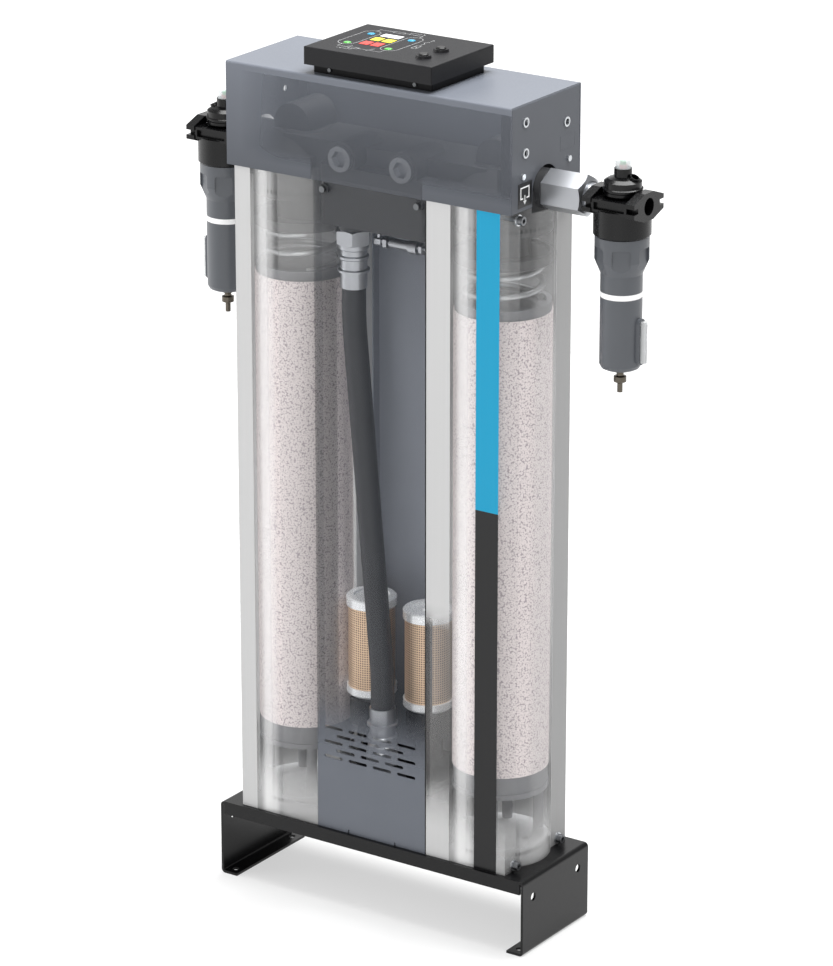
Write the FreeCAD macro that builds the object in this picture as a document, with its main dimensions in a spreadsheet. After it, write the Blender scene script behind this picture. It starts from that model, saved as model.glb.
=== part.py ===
import FreeCAD, Part
import Sketcher
import math
import os

# Twin tower compressed air dryer, in millimetres.
# X runs to the right of the front, Y to the back and Z up.
# The origin is on the floor in the middle of the feet.

doc = FreeCAD.newDocument("DesiccantDryer")
sheet = doc.addObject("Spreadsheet::Sheet", "Sizes")
rows = []
pieces = []


class Size:
    """A length known by its formula in the sheet and by its value."""

    def __init__(self, text, value):
        self.text = text
        self.value = value

    def __add__(self, other):
        return Size("(%s + %s)" % (self.text, words(other)), self.value + number(other))

    def __radd__(self, other):
        return Size("(%s + %s)" % (words(other), self.text), number(other) + self.value)

    def __sub__(self, other):
        return Size("(%s - %s)" % (self.text, words(other)), self.value - number(other))

    def __rsub__(self, other):
        return Size("(%s - %s)" % (words(other), self.text), number(other) - self.value)

    def __mul__(self, other):
        return Size("(%s * %s)" % (self.text, words(other)), self.value * number(other))

    def __rmul__(self, other):
        return Size("(%s * %s)" % (words(other), self.text), number(other) * self.value)

    def __truediv__(self, other):
        return Size("(%s / %s)" % (self.text, words(other)), self.value / number(other))

    def __neg__(self):
        return Size("(0 - %s)" % self.text, -self.value)


def words(value):
    if isinstance(value, Size):
        return value.text
    return "(%s)" % repr(float(value))


def number(value):
    if isinstance(value, Size):
        return value.value
    return float(value)


def lesser(first, second):
    """The smaller of two lengths."""
    return Size("min(%s; %s)" % (words(first), words(second)), min(number(first), number(second)))


def named(alias, value):
    """One driving dimension, as a named cell of the sheet."""
    row = len(rows) + 1
    sheet.set("A%d" % row, alias)
    sheet.set("B%d" % row, str(value))
    sheet.setAlias("B%d" % row, alias)
    rows.append(alias)
    return Size("Sizes.%s" % alias, float(value))


def bind(thing, prop, value):
    if isinstance(value, Size):
        thing.setExpression(prop, value.text)
    elif prop.startswith("Placement.Base."):
        thing.setExpression(prop, repr(float(value)))
    else:
        setattr(thing, prop, float(value))


# Base frame of bent sheet
base_width = 420
base_depth = 137
base_height = 91
base_sheet = 3
base_bend = 5
lip_height = 16
lip_inset = 5
foot_reach = 22
leg_hole_radius = 5
leg_hole_spacing = 94
leg_hole_drop = 24
foot_hole_radius = 4
foot_hole_spacing = 114
foot_hole_inset = 12

# Towers, each an extruded profile with a round chamber between flat faces
tower_spacing = 268
column_height = 777
bore_radius = 55
tube_wall = 3
face_depth = 126
face_inner = 59
face_outer = 48
face_skin = 3
web_width = 16
fit_gap = 0.2
port_notch_depth = 12
port_notch_width = 51

# Bolts that hold each tower's end pieces
bolt_radius = 3
bolt_head_radius = 5
bolt_head_height = 6
bolt_key = 5
bolt_grip = 27
bolt_spacing = 92
bolt_rise = 7.5
bolt_drop = 15
washer_radius = 6.5
washer_thickness = 1.6
bolt_clearance = 0.3

# Tower contents
closure_height = 20
groove_height = 4
groove_depth = 3
groove_rise = 12.5
pillar_radius = 6
pillar_circle = 44
pillar_height = 61
support_flange = 6
support_ring = 27
support_play = 1.5
left_pillar_turn = 42
right_pillar_turn = 22
floor_hole_radius = 6
floor_hole_circle = 27.3
floor_centre_radius = 8
support_wall = 5
bed_height = 536
sieve_height = 11
sieve_floor = 5
sieve_rim = 6
spring_radius = 43
spring_wire = 3.8
spring_turns = 2
spring_start_turn = 50
base_bolt_radius = 4
base_bolt_key = 13
base_bolt_head = 5.3
base_bolt_circle = 34
left_bolt_turn = 54
right_bolt_turn = 2

# Centre covers
cover_sheet = 1.5
cover_gap = 0.4
cover_return = 12
cover_overlap = 2
cover_screw_spacing = 125
cover_screw_radius = 1.9
cover_screw_head = 3.6
cover_screw_head_height = 2
cover_screw_length = 12
cover_boss_radius = 6
tab_width = 62
tab_depth = 8
relief_width = 2
relief_height = 4
vent_length = 25.4
vent_height = 4
vent_pitch = 33.4
vent_row_pitch = 9
vent_rise = 89.5
vent_centre = -2.4

# Housing
housing_width = 375
housing_depth = 139
housing_height = 118
housing_overlap = 4
housing_relief = 1
housing_sheet = 1.5
housing_bend = 2.5
end_return = 12
port_window = 26.5
end_screw_spacing = 92
end_screw_rise = 38
end_screw_radius = 2
end_screw_head = 3.4
end_screw_head_height = 2
end_screw_length = 14
eyelet_radius = 5.6
eyelet_hole = 3.6
eyelet_sleeve = 1
eyelet_lip = 1.2
eyelet_offset = 41
eyelet_low = 63
eyelet_high = 97

# Upper valve block
port_rise = 11
plug_length = 77
plug_foot = 11
plug_core = 30
plug_collar = 40
plug_groove_drop = 34
plug_rim = 4
plug_rim_slope = 2
plug_dish = 3
flange_height = 12
flange_radius = 57
crown_low_radius = 50
crown_high_radius = 32
crown_height = 21
block_cover_gap = 3.5
plug_face_gap = 5
block_depth_back = 46
block_side_gap = 3
block_drop = 56
block_round = 8
bridge_half_depth = 36
bridge_height = 32
port_boss_radius = 22
port_boss_reach = 60
lug_inner = 26
lug_half = 7
lug_cover = 6
dome_radius = 24
dome_rise = 38
dome_front = 20
dome_back = 34
valve_spacing = 81
valve_rise = 22
valve_boss_radius = 19
valve_plug_radius = 14.5
valve_plug_key = 17
valve_plug_height = 5
valve_plug_stem = 12
valve_key_depth = 9
valve_bore_end = 11
passage_radius = 10
cross_rise = 14
chamber_passage = 26
hose_port_drop = 5
hose_passage = 34

# Hose between the upper and lower blocks
hose_radius = 13.5
hose_bore = 8.1
hose_top_x = -37
hose_bottom_x = 0
hose_line_y = -40
hose_grip = 16
hose_lead = 40
ferrule_length = 50
ferrule_radius = 15
ferrule_rib = 17
ferrule_collar = 18
hose_nut_key = 36
hose_nut_height = 17
nut_bevel = 1.5

# Lower block, exhaust valves and silencers
lower_block_rise = 14
lower_block_height = 47
lower_block_front = 18
lower_block_back = 42
lower_spigot_length = 8
spigot_radius = 12
spigot_bore = 9
spigot_rise = 37
elbow_radius = 13
elbow_bore = 8
elbow_bore_depth = 20
elbow_drop = 52
elbow_collar_height = 20
elbow_collar_radius = 16
elbow_nut_key = 30
elbow_nut_length = 7
exhaust_bore = 7
exhaust_bore_drop = 5
silencer_left_x = -45
silencer_right_x = 33
silencer_y = 4
silencer_radius = 29
silencer_height = 120
silencer_cap = 11
silencer_foot_bevel = 3
silencer_edge = 1.5
silencer_bore = 8
dish_radius = 21
dish_depth = 2.5
dish_slope = 1
hub_radius = 5
hub_slope = 2
mesh_radius = 27
mesh_wall = 2
valve_body_height = 84
valve_body_width = 38
valve_seat = 30
valve_cap = 32
valve_body_round = 3
valve_waist_inset = 2
valve_screw_radius = 2.2
valve_screw_head = 1
valve_screw_rise = 8
valve_screw_inset = 5
silencer_stem = 5
silencer_stem_radius = 11

# Purge line under the upper block
purge_y = -30
purge_drop = 17
purge_start = -14
purge_length = 84
purge_tube = 3
purge_riser_in = 4
purge_riser_out = 6
union_key = 10
union_length = 9
lock_key = 14
lock_length = 5
lock_start = 13
check_valve_radius = 5.5
check_valve_length = 26
check_valve_start = 20
adjuster_radius = 8
adjuster_length = 11
adjuster_nut_key = 12
adjuster_nut_length = 4
adjuster_nut_start = 60
purge_end_radius = 5.5
purge_end_length = 12

# Port adaptors and filters
hex_key = 41
hex_length = 51
inlet_hex_length = 6
hex_bevel_length = 4
hex_bevel_depth = 3
adaptor_bore = 6.7
hex_neck = 7
hex_neck_radius = 15
spigot_length = 14
spigot_thread = 12
head_length = 66
head_half_depth = 30
head_plate = 14
head_flange = 11
head_waist_inset = 1.5
head_pocket_margin = 3
port_radius = 9.7
port_depth = 11
port_throat = 5.5
nipple_length = 10
ear_height = 16
flange_rise = 15.5
crown_half = 9
waist_pocket = 4
ear_notch = 6
ear_notch_depth = 7
collar_radius = 31.5
collar_height = 29
collar_bevel = 2
bowl_spigot_radius = 23.7
bowl_spigot_height = 6
bowl_socket_depth = 8
bowl_throat = 16
bowl_top_radius = 29.7
bowl_grip = 26
bowl_taper = 16
bowl_radius = 23
bowl_length = 150
bowl_round = 6
grip_width = 20
grip_depth = 4
grip_round = 3
grip_foot = 3
grip_drop = 11
sight_height = 52
sight_width = 12
sight_lift = 4
sight_rise = 8
sight_sink = 5
glass_inset = 3
glass_sink = 2
glass_radius = 4
drain_length = 27
drain_nozzle = 3
drain_collar = 6
drain_collar_height = 4
drain_waist = 4
drain_waist_height = 4
drain_knob = 7
drain_knob_height = 6
drain_step = 1
drain_taper = 2
gauge_radius = 22
gauge_height = 22
gauge_foot_inset = 4
gauge_foot_bevel = 3
gauge_foot_height = 6
gauge_rib_height = 1.5
gauge_rib_depth = 1.5
gauge_rib_rise = 8
gauge_edge = 0.5
gauge_shoulder_drop = 5
gauge_shoulder_inset = 6
gauge_crown_drop = 2
gauge_neck = 9.7
gauge_neck_height = 9
gauge_cap_radius = 9
gauge_cap_height = 13
gauge_cap_wall = 1.4
gauge_cap_round = 4
gauge_cap_bevel = 1.5
test_port_tilt = 28
test_port_offset = 14.5
test_port_radius = 5.6
test_port_sink = 8
test_port_proud = 1
test_port_bore = 4.2
test_port_depth = 6
piston_radius = 4
piston_gap = 0.4
piston_rise = 3.5
piston_tip_height = 4
piston_tip_step = 0.7

# Controller
controller_width = 168
controller_front = 67
controller_back = 56
controller_lift = 10
lid_height = 20
lid_wall = 2
tray_inset_x = 6
tray_inset_y = 10
tray_wall = 1.5
tray_round = 2
lid_round = 1.5
tray_screw_radius = 2.2
tray_screw_spacing = 112
tray_screw_rise = 5
tray_screw_head = 1.5
button_x = 53
button_front_y = -36
button_back_y = -2
button_radius = 5.5
button_gap = 0.3
bezel_radius = 9
bezel_height = 3
button_proud = 2
button_flange = 2.7
button_skirt = 1.5
button_bevel = 1
bezel_bevel = 1
bezel_sink = 0.5

# Every size above becomes a named cell of the sheet
for alias, value in list(globals().items()):
    if isinstance(value, (int, float)):
        globals()[alias] = named(alias, value)

# How many times each pattern repeats
PILLARS = 4
FLOOR_HOLES = 8
BASE_BOLTS = 3
VENT_ROWS = 5
VENTS_IN_ROW = (4, 3)
GRIPS = 6

# Levels and lines that several pieces share
tower_x = tower_spacing / 2
column_top = base_height + column_height
housing_bottom = column_top - housing_overlap
housing_top = housing_bottom + housing_height
front_face = -(face_depth / 2)
tube_radius = bore_radius + tube_wall
bay_half = tower_x - face_inner
port_z = column_top + port_rise
block_bottom = column_top - block_drop
plug_bottom = column_top - plug_length
inner_radius = bore_radius - fit_gap
closure_top = base_height + closure_height
low_bolt_z = base_height + bolt_rise
high_bolt_z = column_top - bolt_drop
flank_x = tower_x + face_outer
end_face = housing_width / 2
block_half = bay_half - block_side_gap
hood_inside = housing_depth / 2 - housing_sheet
boss_front = hood_inside - plug_face_gap - valve_plug_height
block_front = lesser(face_depth / 2 - cover_sheet - block_cover_gap, boss_front)
cover_hole = cover_screw_length + 2
end_screw_z = housing_bottom + end_screw_rise


def box(x0, x1, y0, y1, z0, z1):
    """A plain block between two corners."""
    thing = doc.addObject("Part::Box", "Block")
    bind(thing, "Length", x1 - x0)
    bind(thing, "Width", y1 - y0)
    bind(thing, "Height", z1 - z0)
    bind(thing, "Placement.Base.x", x0)
    bind(thing, "Placement.Base.y", y0)
    bind(thing, "Placement.Base.z", z0)
    return thing


TURNS = {
    "x": FreeCAD.Rotation(FreeCAD.Vector(0, 1, 0), 90),
    "y": FreeCAD.Rotation(FreeCAD.Vector(1, 0, 0), -90),
    "z": FreeCAD.Rotation(),
}


def place(thing, axis, x, y, z):
    thing.Placement = FreeCAD.Placement(FreeCAD.Vector(0, 0, 0), TURNS[axis])
    bind(thing, "Placement.Base.x", x)
    bind(thing, "Placement.Base.y", y)
    bind(thing, "Placement.Base.z", z)


def rod(axis, radius, x, y, z, length):
    """A round bar that starts at a point and runs along an axis."""
    thing = doc.addObject("Part::Cylinder", "Round")
    bind(thing, "Radius", radius)
    bind(thing, "Height", length)
    place(thing, axis, x, y, z)
    return thing


def cone(axis, radius, far_radius, x, y, z, length):
    thing = doc.addObject("Part::Cone", "Taper")
    bind(thing, "Radius1", radius)
    bind(thing, "Radius2", far_radius)
    bind(thing, "Height", length)
    place(thing, axis, x, y, z)
    return thing


def hexagon(axis, key, x, y, z, length):
    """A hexagonal bar, sized across its flats."""
    thing = doc.addObject("Part::Prism", "Hexagon")
    thing.Polygon = 6
    bind(thing, "Circumradius", key / math.sqrt(3))
    bind(thing, "Height", length)
    place(thing, axis, x, y, z)
    return thing


def join(parts):
    if len(parts) == 1:
        return parts[0]
    thing = doc.addObject("Part::MultiFuse", "Joined")
    thing.Shapes = parts
    thing.Refine = True
    return thing


def cut(base, tools):
    thing = doc.addObject("Part::Cut", "Trimmed")
    thing.Base = base
    thing.Tool = join(tools)
    thing.Refine = True
    return thing


def common(first, second):
    thing = doc.addObject("Part::MultiCommon", "Shared")
    thing.Shapes = [first, second]
    return thing


def soften(base, radius, chosen):
    """Rounds the edges that the test picks."""
    doc.recompute()
    thing = doc.addObject("Part::Fillet", "Rounded")
    thing.Base = base
    picked = []
    for index, edge in enumerate(base.Shape.Edges, 1):
        if chosen(edge):
            picked.append((index, number(radius), number(radius)))
    if not picked:
        raise ValueError("no edge to round")
    thing.Edges = picked
    return thing


def keep(thing, label, turn=0):
    """Names a finished piece; a turn gives the twin on the other side."""
    if turn:
        thing.Placement = FreeCAD.Placement(FreeCAD.Vector(0, 0, 0), FreeCAD.Rotation(turn, 0, 0))
    thing.Label = label
    pieces.append(thing)
    return thing


def group(things, label):
    thing = doc.addObject("Part::Compound", "Set")
    thing.Links = things
    return keep(thing, label)


def plane_of(body, role):
    for feature in body.Origin.OriginFeatures:
        if feature.Role == role:
            return feature
    raise ValueError(role)


def sketch_on(body, role, points):
    """A closed outline whose corners are bound to the sheet."""
    sketch = body.newObject("Sketcher::SketchObject", "Outline")
    sketch.AttachmentSupport = [(plane_of(body, role), "")]
    sketch.MapMode = "FlatFace"
    spots = [FreeCAD.Vector(number(u), number(v), 0) for u, v in points]
    count = len(spots)
    for index in range(count):
        sketch.addGeometry(Part.LineSegment(spots[index], spots[(index + 1) % count]), False)
    for index in range(count):
        sketch.addConstraint(Sketcher.Constraint("Coincident", index, 2, (index + 1) % count, 1))
    for index, (u, v) in enumerate(points):
        for kind, value in (("DistanceX", u), ("DistanceY", v)):
            place_in = sketch.addConstraint(Sketcher.Constraint(kind, -1, 1, index, 1, number(value)))
            if isinstance(value, Size):
                sketch.setExpression("Constraints[%d]" % place_in, value.text)
    return sketch


def turned(points, x, y):
    """A body of revolution about an upright axis, from radius and height pairs."""
    body = doc.addObject("PartDesign::Body", "Turning")
    sketch = sketch_on(body, "XZ_Plane", points)
    spin = body.newObject("PartDesign::Revolution", "Revolution")
    spin.Profile = sketch
    spin.ReferenceAxis = (sketch, ["V_Axis"])
    spin.Angle = 360
    sketch.Visibility = False
    bind(body, "Placement.Base.x", x)
    bind(body, "Placement.Base.y", y)
    return body


def drawn(role, points, length, x, y, z):
    """A body padded from a flat outline."""
    body = doc.addObject("PartDesign::Body", "Pressing")
    sketch = sketch_on(body, role, points)
    pad = body.newObject("PartDesign::Pad", "Pad")
    pad.Profile = sketch
    bind(pad, "Length", length)
    sketch.Visibility = False
    bind(body, "Placement.Base.x", x)
    bind(body, "Placement.Base.y", y)
    bind(body, "Placement.Base.z", z)
    return body


def upright(edge):
    return len(edge.Vertexes) == 2 and abs(edge.tangentAt(edge.FirstParameter).z) > 0.999


def runs_along(edge, axis):
    if len(edge.Vertexes) != 2 or edge.Curve.TypeId != "Part::GeomLine":
        return False
    return abs(getattr(edge.tangentAt(edge.FirstParameter), axis)) > 0.999


def near(value, target):
    return abs(value - number(target)) < 0.01


def bolt_spots(side):
    """Where three upright bolts hold one tower to the base."""
    spin = right_bolt_turn if side > 0 else left_bolt_turn
    spots = []
    for index in range(BASE_BOLTS):
        turn = math.radians(360 / BASE_BOLTS * index + number(spin))
        x = side * tower_x + base_bolt_circle * math.cos(turn)
        spots.append((x, base_bolt_circle * math.sin(turn)))
    return spots


# The base frame: one strip bent into a bridge with inward feet and a lip front and back
half = base_width / 2
strip = drawn(
    "XZ_Plane",
    [
        (-half, 0),
        (-half, base_height),
        (half, base_height),
        (half, 0),
        (half - foot_reach, 0),
        (half - foot_reach, base_sheet),
        (half - base_sheet, base_sheet),
        (half - base_sheet, base_height - base_sheet),
        (base_sheet - half, base_height - base_sheet),
        (base_sheet - half, base_sheet),
        (foot_reach - half, base_sheet),
        (foot_reach - half, 0),
    ],
    base_depth,
    0,
    base_depth / 2,
    0,
)


def outer_bend(edge):
    centre = edge.CenterOfMass
    if not runs_along(edge, "y") or abs(abs(centre.x) - number(half)) > 0.01:
        return False
    return near(centre.z, base_height) or near(centre.z, 0)


def inner_bend(edge):
    centre = edge.CenterOfMass
    if not runs_along(edge, "y") or abs(abs(centre.x) - number(half - base_sheet)) > 0.01:
        return False
    return near(centre.z, base_height - base_sheet) or near(centre.z, base_sheet)


strip = soften(strip, base_bend, outer_bend)
strip = soften(strip, base_bend - base_sheet, inner_bend)
lips = []
for side in (-1, 1):
    face = side * base_depth / 2
    back = side * (base_depth / 2 - base_sheet)
    low, high = (face, back) if side < 0 else (back, face)
    lips.append(box(lip_inset - half, half - lip_inset, low, high, base_height - lip_height, base_height))
frame_holes = []
for side in (-1, 1):
    leg_y = side * leg_hole_spacing / 2
    foot_y = side * foot_hole_spacing / 2
    leg_z = base_height - leg_hole_drop
    frame_holes.append(rod("x", leg_hole_radius, -half - 1, leg_y, leg_z, base_width + 2))
    for end in (-1, 1):
        foot_x = end * (half - foot_hole_inset)
        frame_holes.append(rod("z", foot_hole_radius, foot_x, foot_y, -1, base_sheet + 2))
    slot_out = face_depth / 2 + fit_gap
    slot_in = face_depth / 2 - cover_sheet - fit_gap
    low, high = (-slot_out, -slot_in) if side < 0 else (slot_in, slot_out)
    slot_z = base_height - base_sheet - 1
    slot_half = tab_width / 2 + fit_gap
    frame_holes.append(box(-slot_half, slot_half, low, high, slot_z, base_height + 1))
for end in (-1, 1):
    for x, y in bolt_spots(end):
        start = base_height - base_sheet - 1
        frame_holes.append(rod("z", base_bolt_radius + bolt_clearance, x, y, start, base_sheet + 2))
keep(cut(join([strip] + lips), frame_holes), "base_frame")


# The two tower profiles: round chamber, flat front and back, hollow corners
def tower_profile(turn, label):
    outside = [
        box(tower_x - face_inner, flank_x, front_face, -front_face, base_height, column_top),
        rod("z", tube_radius, tower_x, 0, base_height, column_height),
    ]
    tools = [rod("z", bore_radius, tower_x, 0, base_height - 1, column_height + 2)]
    start = base_height - 1
    finish = column_top + 1
    spans = [
        (tower_x - face_inner + face_skin, tower_x - web_width / 2),
        (tower_x + web_width / 2, flank_x - face_skin),
    ]
    for low, high in spans:
        for side in (-1, 1):
            if side < 0:
                corner = box(low, high, front_face + face_skin, 0, start, finish)
            else:
                corner = box(low, high, 0, -front_face - face_skin, start, finish)
            tools.append(cut(corner, [rod("z", tube_radius, tower_x, 0, start, column_height + 2)]))
    for side in (-1, 1):
        for level in (low_bolt_z, high_bolt_z):
            y = side * bolt_spacing / 2
            start_x = tower_x + face_outer / 2
            tools.append(rod("x", bolt_radius + bolt_clearance, start_x, y, level, face_outer))
    notch = port_notch_width / 2
    edge = tower_x + tube_radius + 1
    tools.append(box(tower_x, edge, -notch, notch, column_top - port_notch_depth, finish))
    tools.append(rod("x", spigot_radius, bay_half - 1, 0, base_height + spigot_rise, tube_wall + face_skin + 2))
    keep(cut(join(outside), tools), label, turn)


tower_profile(0, "column_right")
tower_profile(180, "column_left")


# Bolts and washers on the outer flanks
def flank_bolt(side, y, z):
    seat = flank_x + washer_thickness
    head = rod("x", bolt_head_radius, seat, y, z, bolt_head_height)
    shank = rod("x", bolt_radius, seat - bolt_grip, y, z, bolt_grip)
    key = hexagon("x", bolt_key, seat + bolt_head_height / 2, y, z, bolt_head_height)
    thing = cut(join([head, shank]), [key])
    if side < 0:
        thing.Placement = FreeCAD.Placement(FreeCAD.Vector(0, 0, 0), FreeCAD.Rotation(180, 0, 0))
    return thing


def flank_washer(side, y, z):
    ring = rod("x", washer_radius, flank_x, y, z, washer_thickness)
    hole = rod("x", bolt_radius, flank_x - 1, y, z, washer_thickness + 2)
    thing = cut(ring, [hole])
    if side < 0:
        thing.Placement = FreeCAD.Placement(FreeCAD.Vector(0, 0, 0), FreeCAD.Rotation(180, 0, 0))
    return thing


bolts = []
washers = []
for side in (-1, 1):
    for row in (-1, 1):
        for level in (low_bolt_z, high_bolt_z):
            bolts.append(flank_bolt(side, row * bolt_spacing / 2, level))
            washers.append(flank_washer(side, row * bolt_spacing / 2, level))
group(bolts, "column_bolts")
group(washers, "column_washers")


# Bottom closures, with a groove for the seal and the threads of the flank bolts
def bottom_closure(side, label):
    low = base_height + groove_rise
    body = turned(
        [
            (0, base_height),
            (inner_radius, base_height),
            (inner_radius, low),
            (inner_radius - groove_depth, low),
            (inner_radius - groove_depth, low + groove_height),
            (inner_radius, low + groove_height),
            (inner_radius, closure_top),
            (0, closure_top),
        ],
        side * tower_x,
        0,
    )
    tools = []
    seat = flank_x + washer_thickness - bolt_grip
    start = seat if side > 0 else -seat - bore_radius
    for row in (-1, 1):
        tools.append(rod("x", bolt_radius, start, row * bolt_spacing / 2, low_bolt_z, bore_radius))
    for x, y in bolt_spots(side):
        tools.append(rod("z", base_bolt_radius, x, y, base_height - 1, closure_height + 2))
    keep(cut(body, tools), label)


bottom_closure(1, "closure_right")
bottom_closure(-1, "closure_left")
uprights = []
for side in (-1, 1):
    for x, y in bolt_spots(side):
        under = base_height - base_sheet
        head = hexagon("z", base_bolt_key, x, y, under - base_bolt_head, base_bolt_head)
        shank = rod("z", base_bolt_radius, x, y, under - 1, base_sheet + closure_height + 1)
        uprights.append(join([head, shank]))
group(uprights, "base_bolts")


# Seal rings that fill the grooves of the closures and of the upper plugs
def seal_ring(side, low):
    inner = inner_radius - groove_depth
    return turned(
        [(inner, low), (bore_radius, low), (bore_radius, low + groove_height), (inner, low + groove_height)],
        side * tower_x,
        0,
    )


plug_groove = column_top - plug_groove_drop
plug_neck_top = column_top - plug_collar
seals = []
for side in (-1, 1):
    seals.append(seal_ring(side, base_height + groove_rise))
    seals.append(seal_ring(side, plug_groove))
group(seals, "tower_seals")


# Bed supports: a foot, four pillars and a flanged ring with a pierced floor
def bed_support(side, spin, label):
    floor_z = closure_top + pillar_height
    loose = bore_radius - support_play
    parts = [
        rod("z", inner_radius, 0, 0, floor_z, support_flange),
        rod("z", loose, 0, 0, floor_z, support_ring),
    ]
    for index in range(PILLARS):
        turn = math.radians(360 / PILLARS * index + number(spin))
        x = pillar_circle * math.cos(turn)
        y = pillar_circle * math.sin(turn)
        parts.append(rod("z", pillar_radius, x, y, closure_top, pillar_height + 1))
    tools = [rod("z", loose - support_wall, 0, 0, floor_z + support_flange, support_ring)]
    tools.append(rod("z", floor_centre_radius, 0, 0, floor_z - 1, support_flange + 2))
    for index in range(FLOOR_HOLES):
        turn = math.radians(360 / FLOOR_HOLES * (index + 0.5) + number(spin))
        x = floor_hole_circle * math.cos(turn)
        y = floor_hole_circle * math.sin(turn)
        tools.append(rod("z", floor_hole_radius, x, y, floor_z - 1, support_flange + 2))
    thing = keep(cut(join(parts), tools), label)
    bind(thing, "Placement.Base.x", side * tower_x)


bed_support(-1, left_pillar_turn, "bed_support_left")
bed_support(1, right_pillar_turn, "bed_support_right")
bed_bottom = closure_top + pillar_height + support_flange
support_top = closure_top + pillar_height + support_ring
bed_top = support_top + bed_height


# Desiccant beds, upper sieves and the springs that press them down
def tower_fill(side, name):
    low = bed_bottom
    ring_top = support_top
    inside = bore_radius - support_play - support_wall
    bed = turned(
        [(0, low), (inside, low), (inside, ring_top), (inner_radius, ring_top), (inner_radius, bed_top), (0, bed_top)],
        side * tower_x,
        0,
    )
    keep(bed, "desiccant_" + name)
    loose = bore_radius - support_play
    rim = loose - sieve_rim
    sieve = turned(
        [
            (0, bed_top),
            (loose, bed_top),
            (loose, bed_top + sieve_height),
            (rim, bed_top + sieve_height),
            (rim, bed_top + sieve_floor),
            (0, bed_top + sieve_floor),
        ],
        side * tower_x,
        0,
    )
    keep(sieve, "upper_sieve_" + name)
    seat = bed_top + sieve_floor
    room = plug_bottom - seat
    wire = number(spring_wire)
    travel = number(room) - 2 * wire
    turns = number(spring_turns)
    helix = Part.makeHelix(travel / turns, travel, number(spring_radius))
    start = FreeCAD.Vector(number(spring_radius), 0, 0)
    section = Part.Wire([Part.makeCircle(wire, start, FreeCAD.Vector(0, 1, 0))])
    coil = Part.Wire(helix.Edges).makePipeShell([section], True, True)
    spring = doc.addObject("Part::Feature", "Coil")
    spring.Shape = coil
    spring.Placement = FreeCAD.Placement(
        FreeCAD.Vector(side * number(tower_x), 0, number(seat) + wire), FreeCAD.Rotation(number(spring_start_turn) * side, 0, 0)
    )
    keep(spring, "spring_" + name)


tower_fill(-1, "left")
tower_fill(1, "right")


# The upper valve block, a casting with a plug in each tower
block_parts = []
centre = box(-block_half, block_half, -block_front, block_depth_back, block_bottom, column_top + flange_height)
centre = soften(centre, block_round, upright)
block_parts.append(centre)
bridge = box(-tower_x, tower_x, -bridge_half_depth, bridge_half_depth, column_top, column_top + bridge_height)
block_parts.append(bridge)
limit = tower_x + port_boss_reach
for side in (-1, 1):
    x = side * tower_x
    flange = rod("z", flange_radius, x, 0, column_top, flange_height)
    trim = box(-limit, limit, -flange_radius, flange_radius, column_top, column_top + flange_height)
    block_parts.append(common(flange, trim))
    crown_z = column_top + flange_height - 1
    block_parts.append(cone("z", crown_low_radius, crown_high_radius, x, 0, crown_z, crown_height + 1))
    plug = turned(
        [
            (0, plug_bottom),
            (inner_radius, plug_bottom),
            (inner_radius, plug_bottom + plug_foot),
            (inner_radius - plug_rim, plug_bottom + plug_foot),
            (inner_radius - plug_rim - plug_rim_slope, plug_bottom + plug_foot - plug_dish),
            (plug_core, plug_bottom + plug_foot - plug_dish),
            (plug_core, plug_neck_top),
            (inner_radius, plug_neck_top),
            (inner_radius, plug_groove),
            (inner_radius - groove_depth, plug_groove),
            (inner_radius - groove_depth, plug_groove + groove_height),
            (inner_radius, plug_groove + groove_height),
            (inner_radius, column_top + 1),
            (0, column_top + 1),
        ],
        x,
        0,
    )
    block_parts.append(plug)
    boss_start = tower_x if side > 0 else -limit
    block_parts.append(rod("x", port_boss_radius, boss_start, 0, port_z, port_boss_reach))
    arch = rod("y", dome_radius, x, -dome_front, column_top + dome_rise, dome_front + dome_back)
    block_parts.append(arch)
    lug_in = tower_x + lug_inner
    lug_out = end_face - housing_sheet
    for row in (-1, 1):
        y = row * end_screw_spacing / 2
        low_x, high_x = (lug_in, lug_out) if side > 0 else (-lug_out, -lug_in)
        block_parts.append(box(low_x, high_x, y - lug_half, y + lug_half, column_top, end_screw_z + lug_cover))
    valve_x = side * valve_spacing / 2
    block_parts.append(rod("y", valve_boss_radius, valve_x, -boss_front, column_top + valve_rise, boss_front))
    screw_x = side * cover_screw_spacing / 2
    reach = face_depth / 2 - cover_sheet
    block_parts.append(rod("y", cover_boss_radius, screw_x, -reach, high_bolt_z, reach))
    block_parts.append(rod("y", cover_boss_radius, screw_x, 0, high_bolt_z, reach))
hose_port_z = block_bottom - hose_port_drop
block_parts.append(rod("z", ferrule_rib, hose_top_x, hose_line_y, hose_port_z, 2 * hose_port_drop))
block_tools = []
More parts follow.
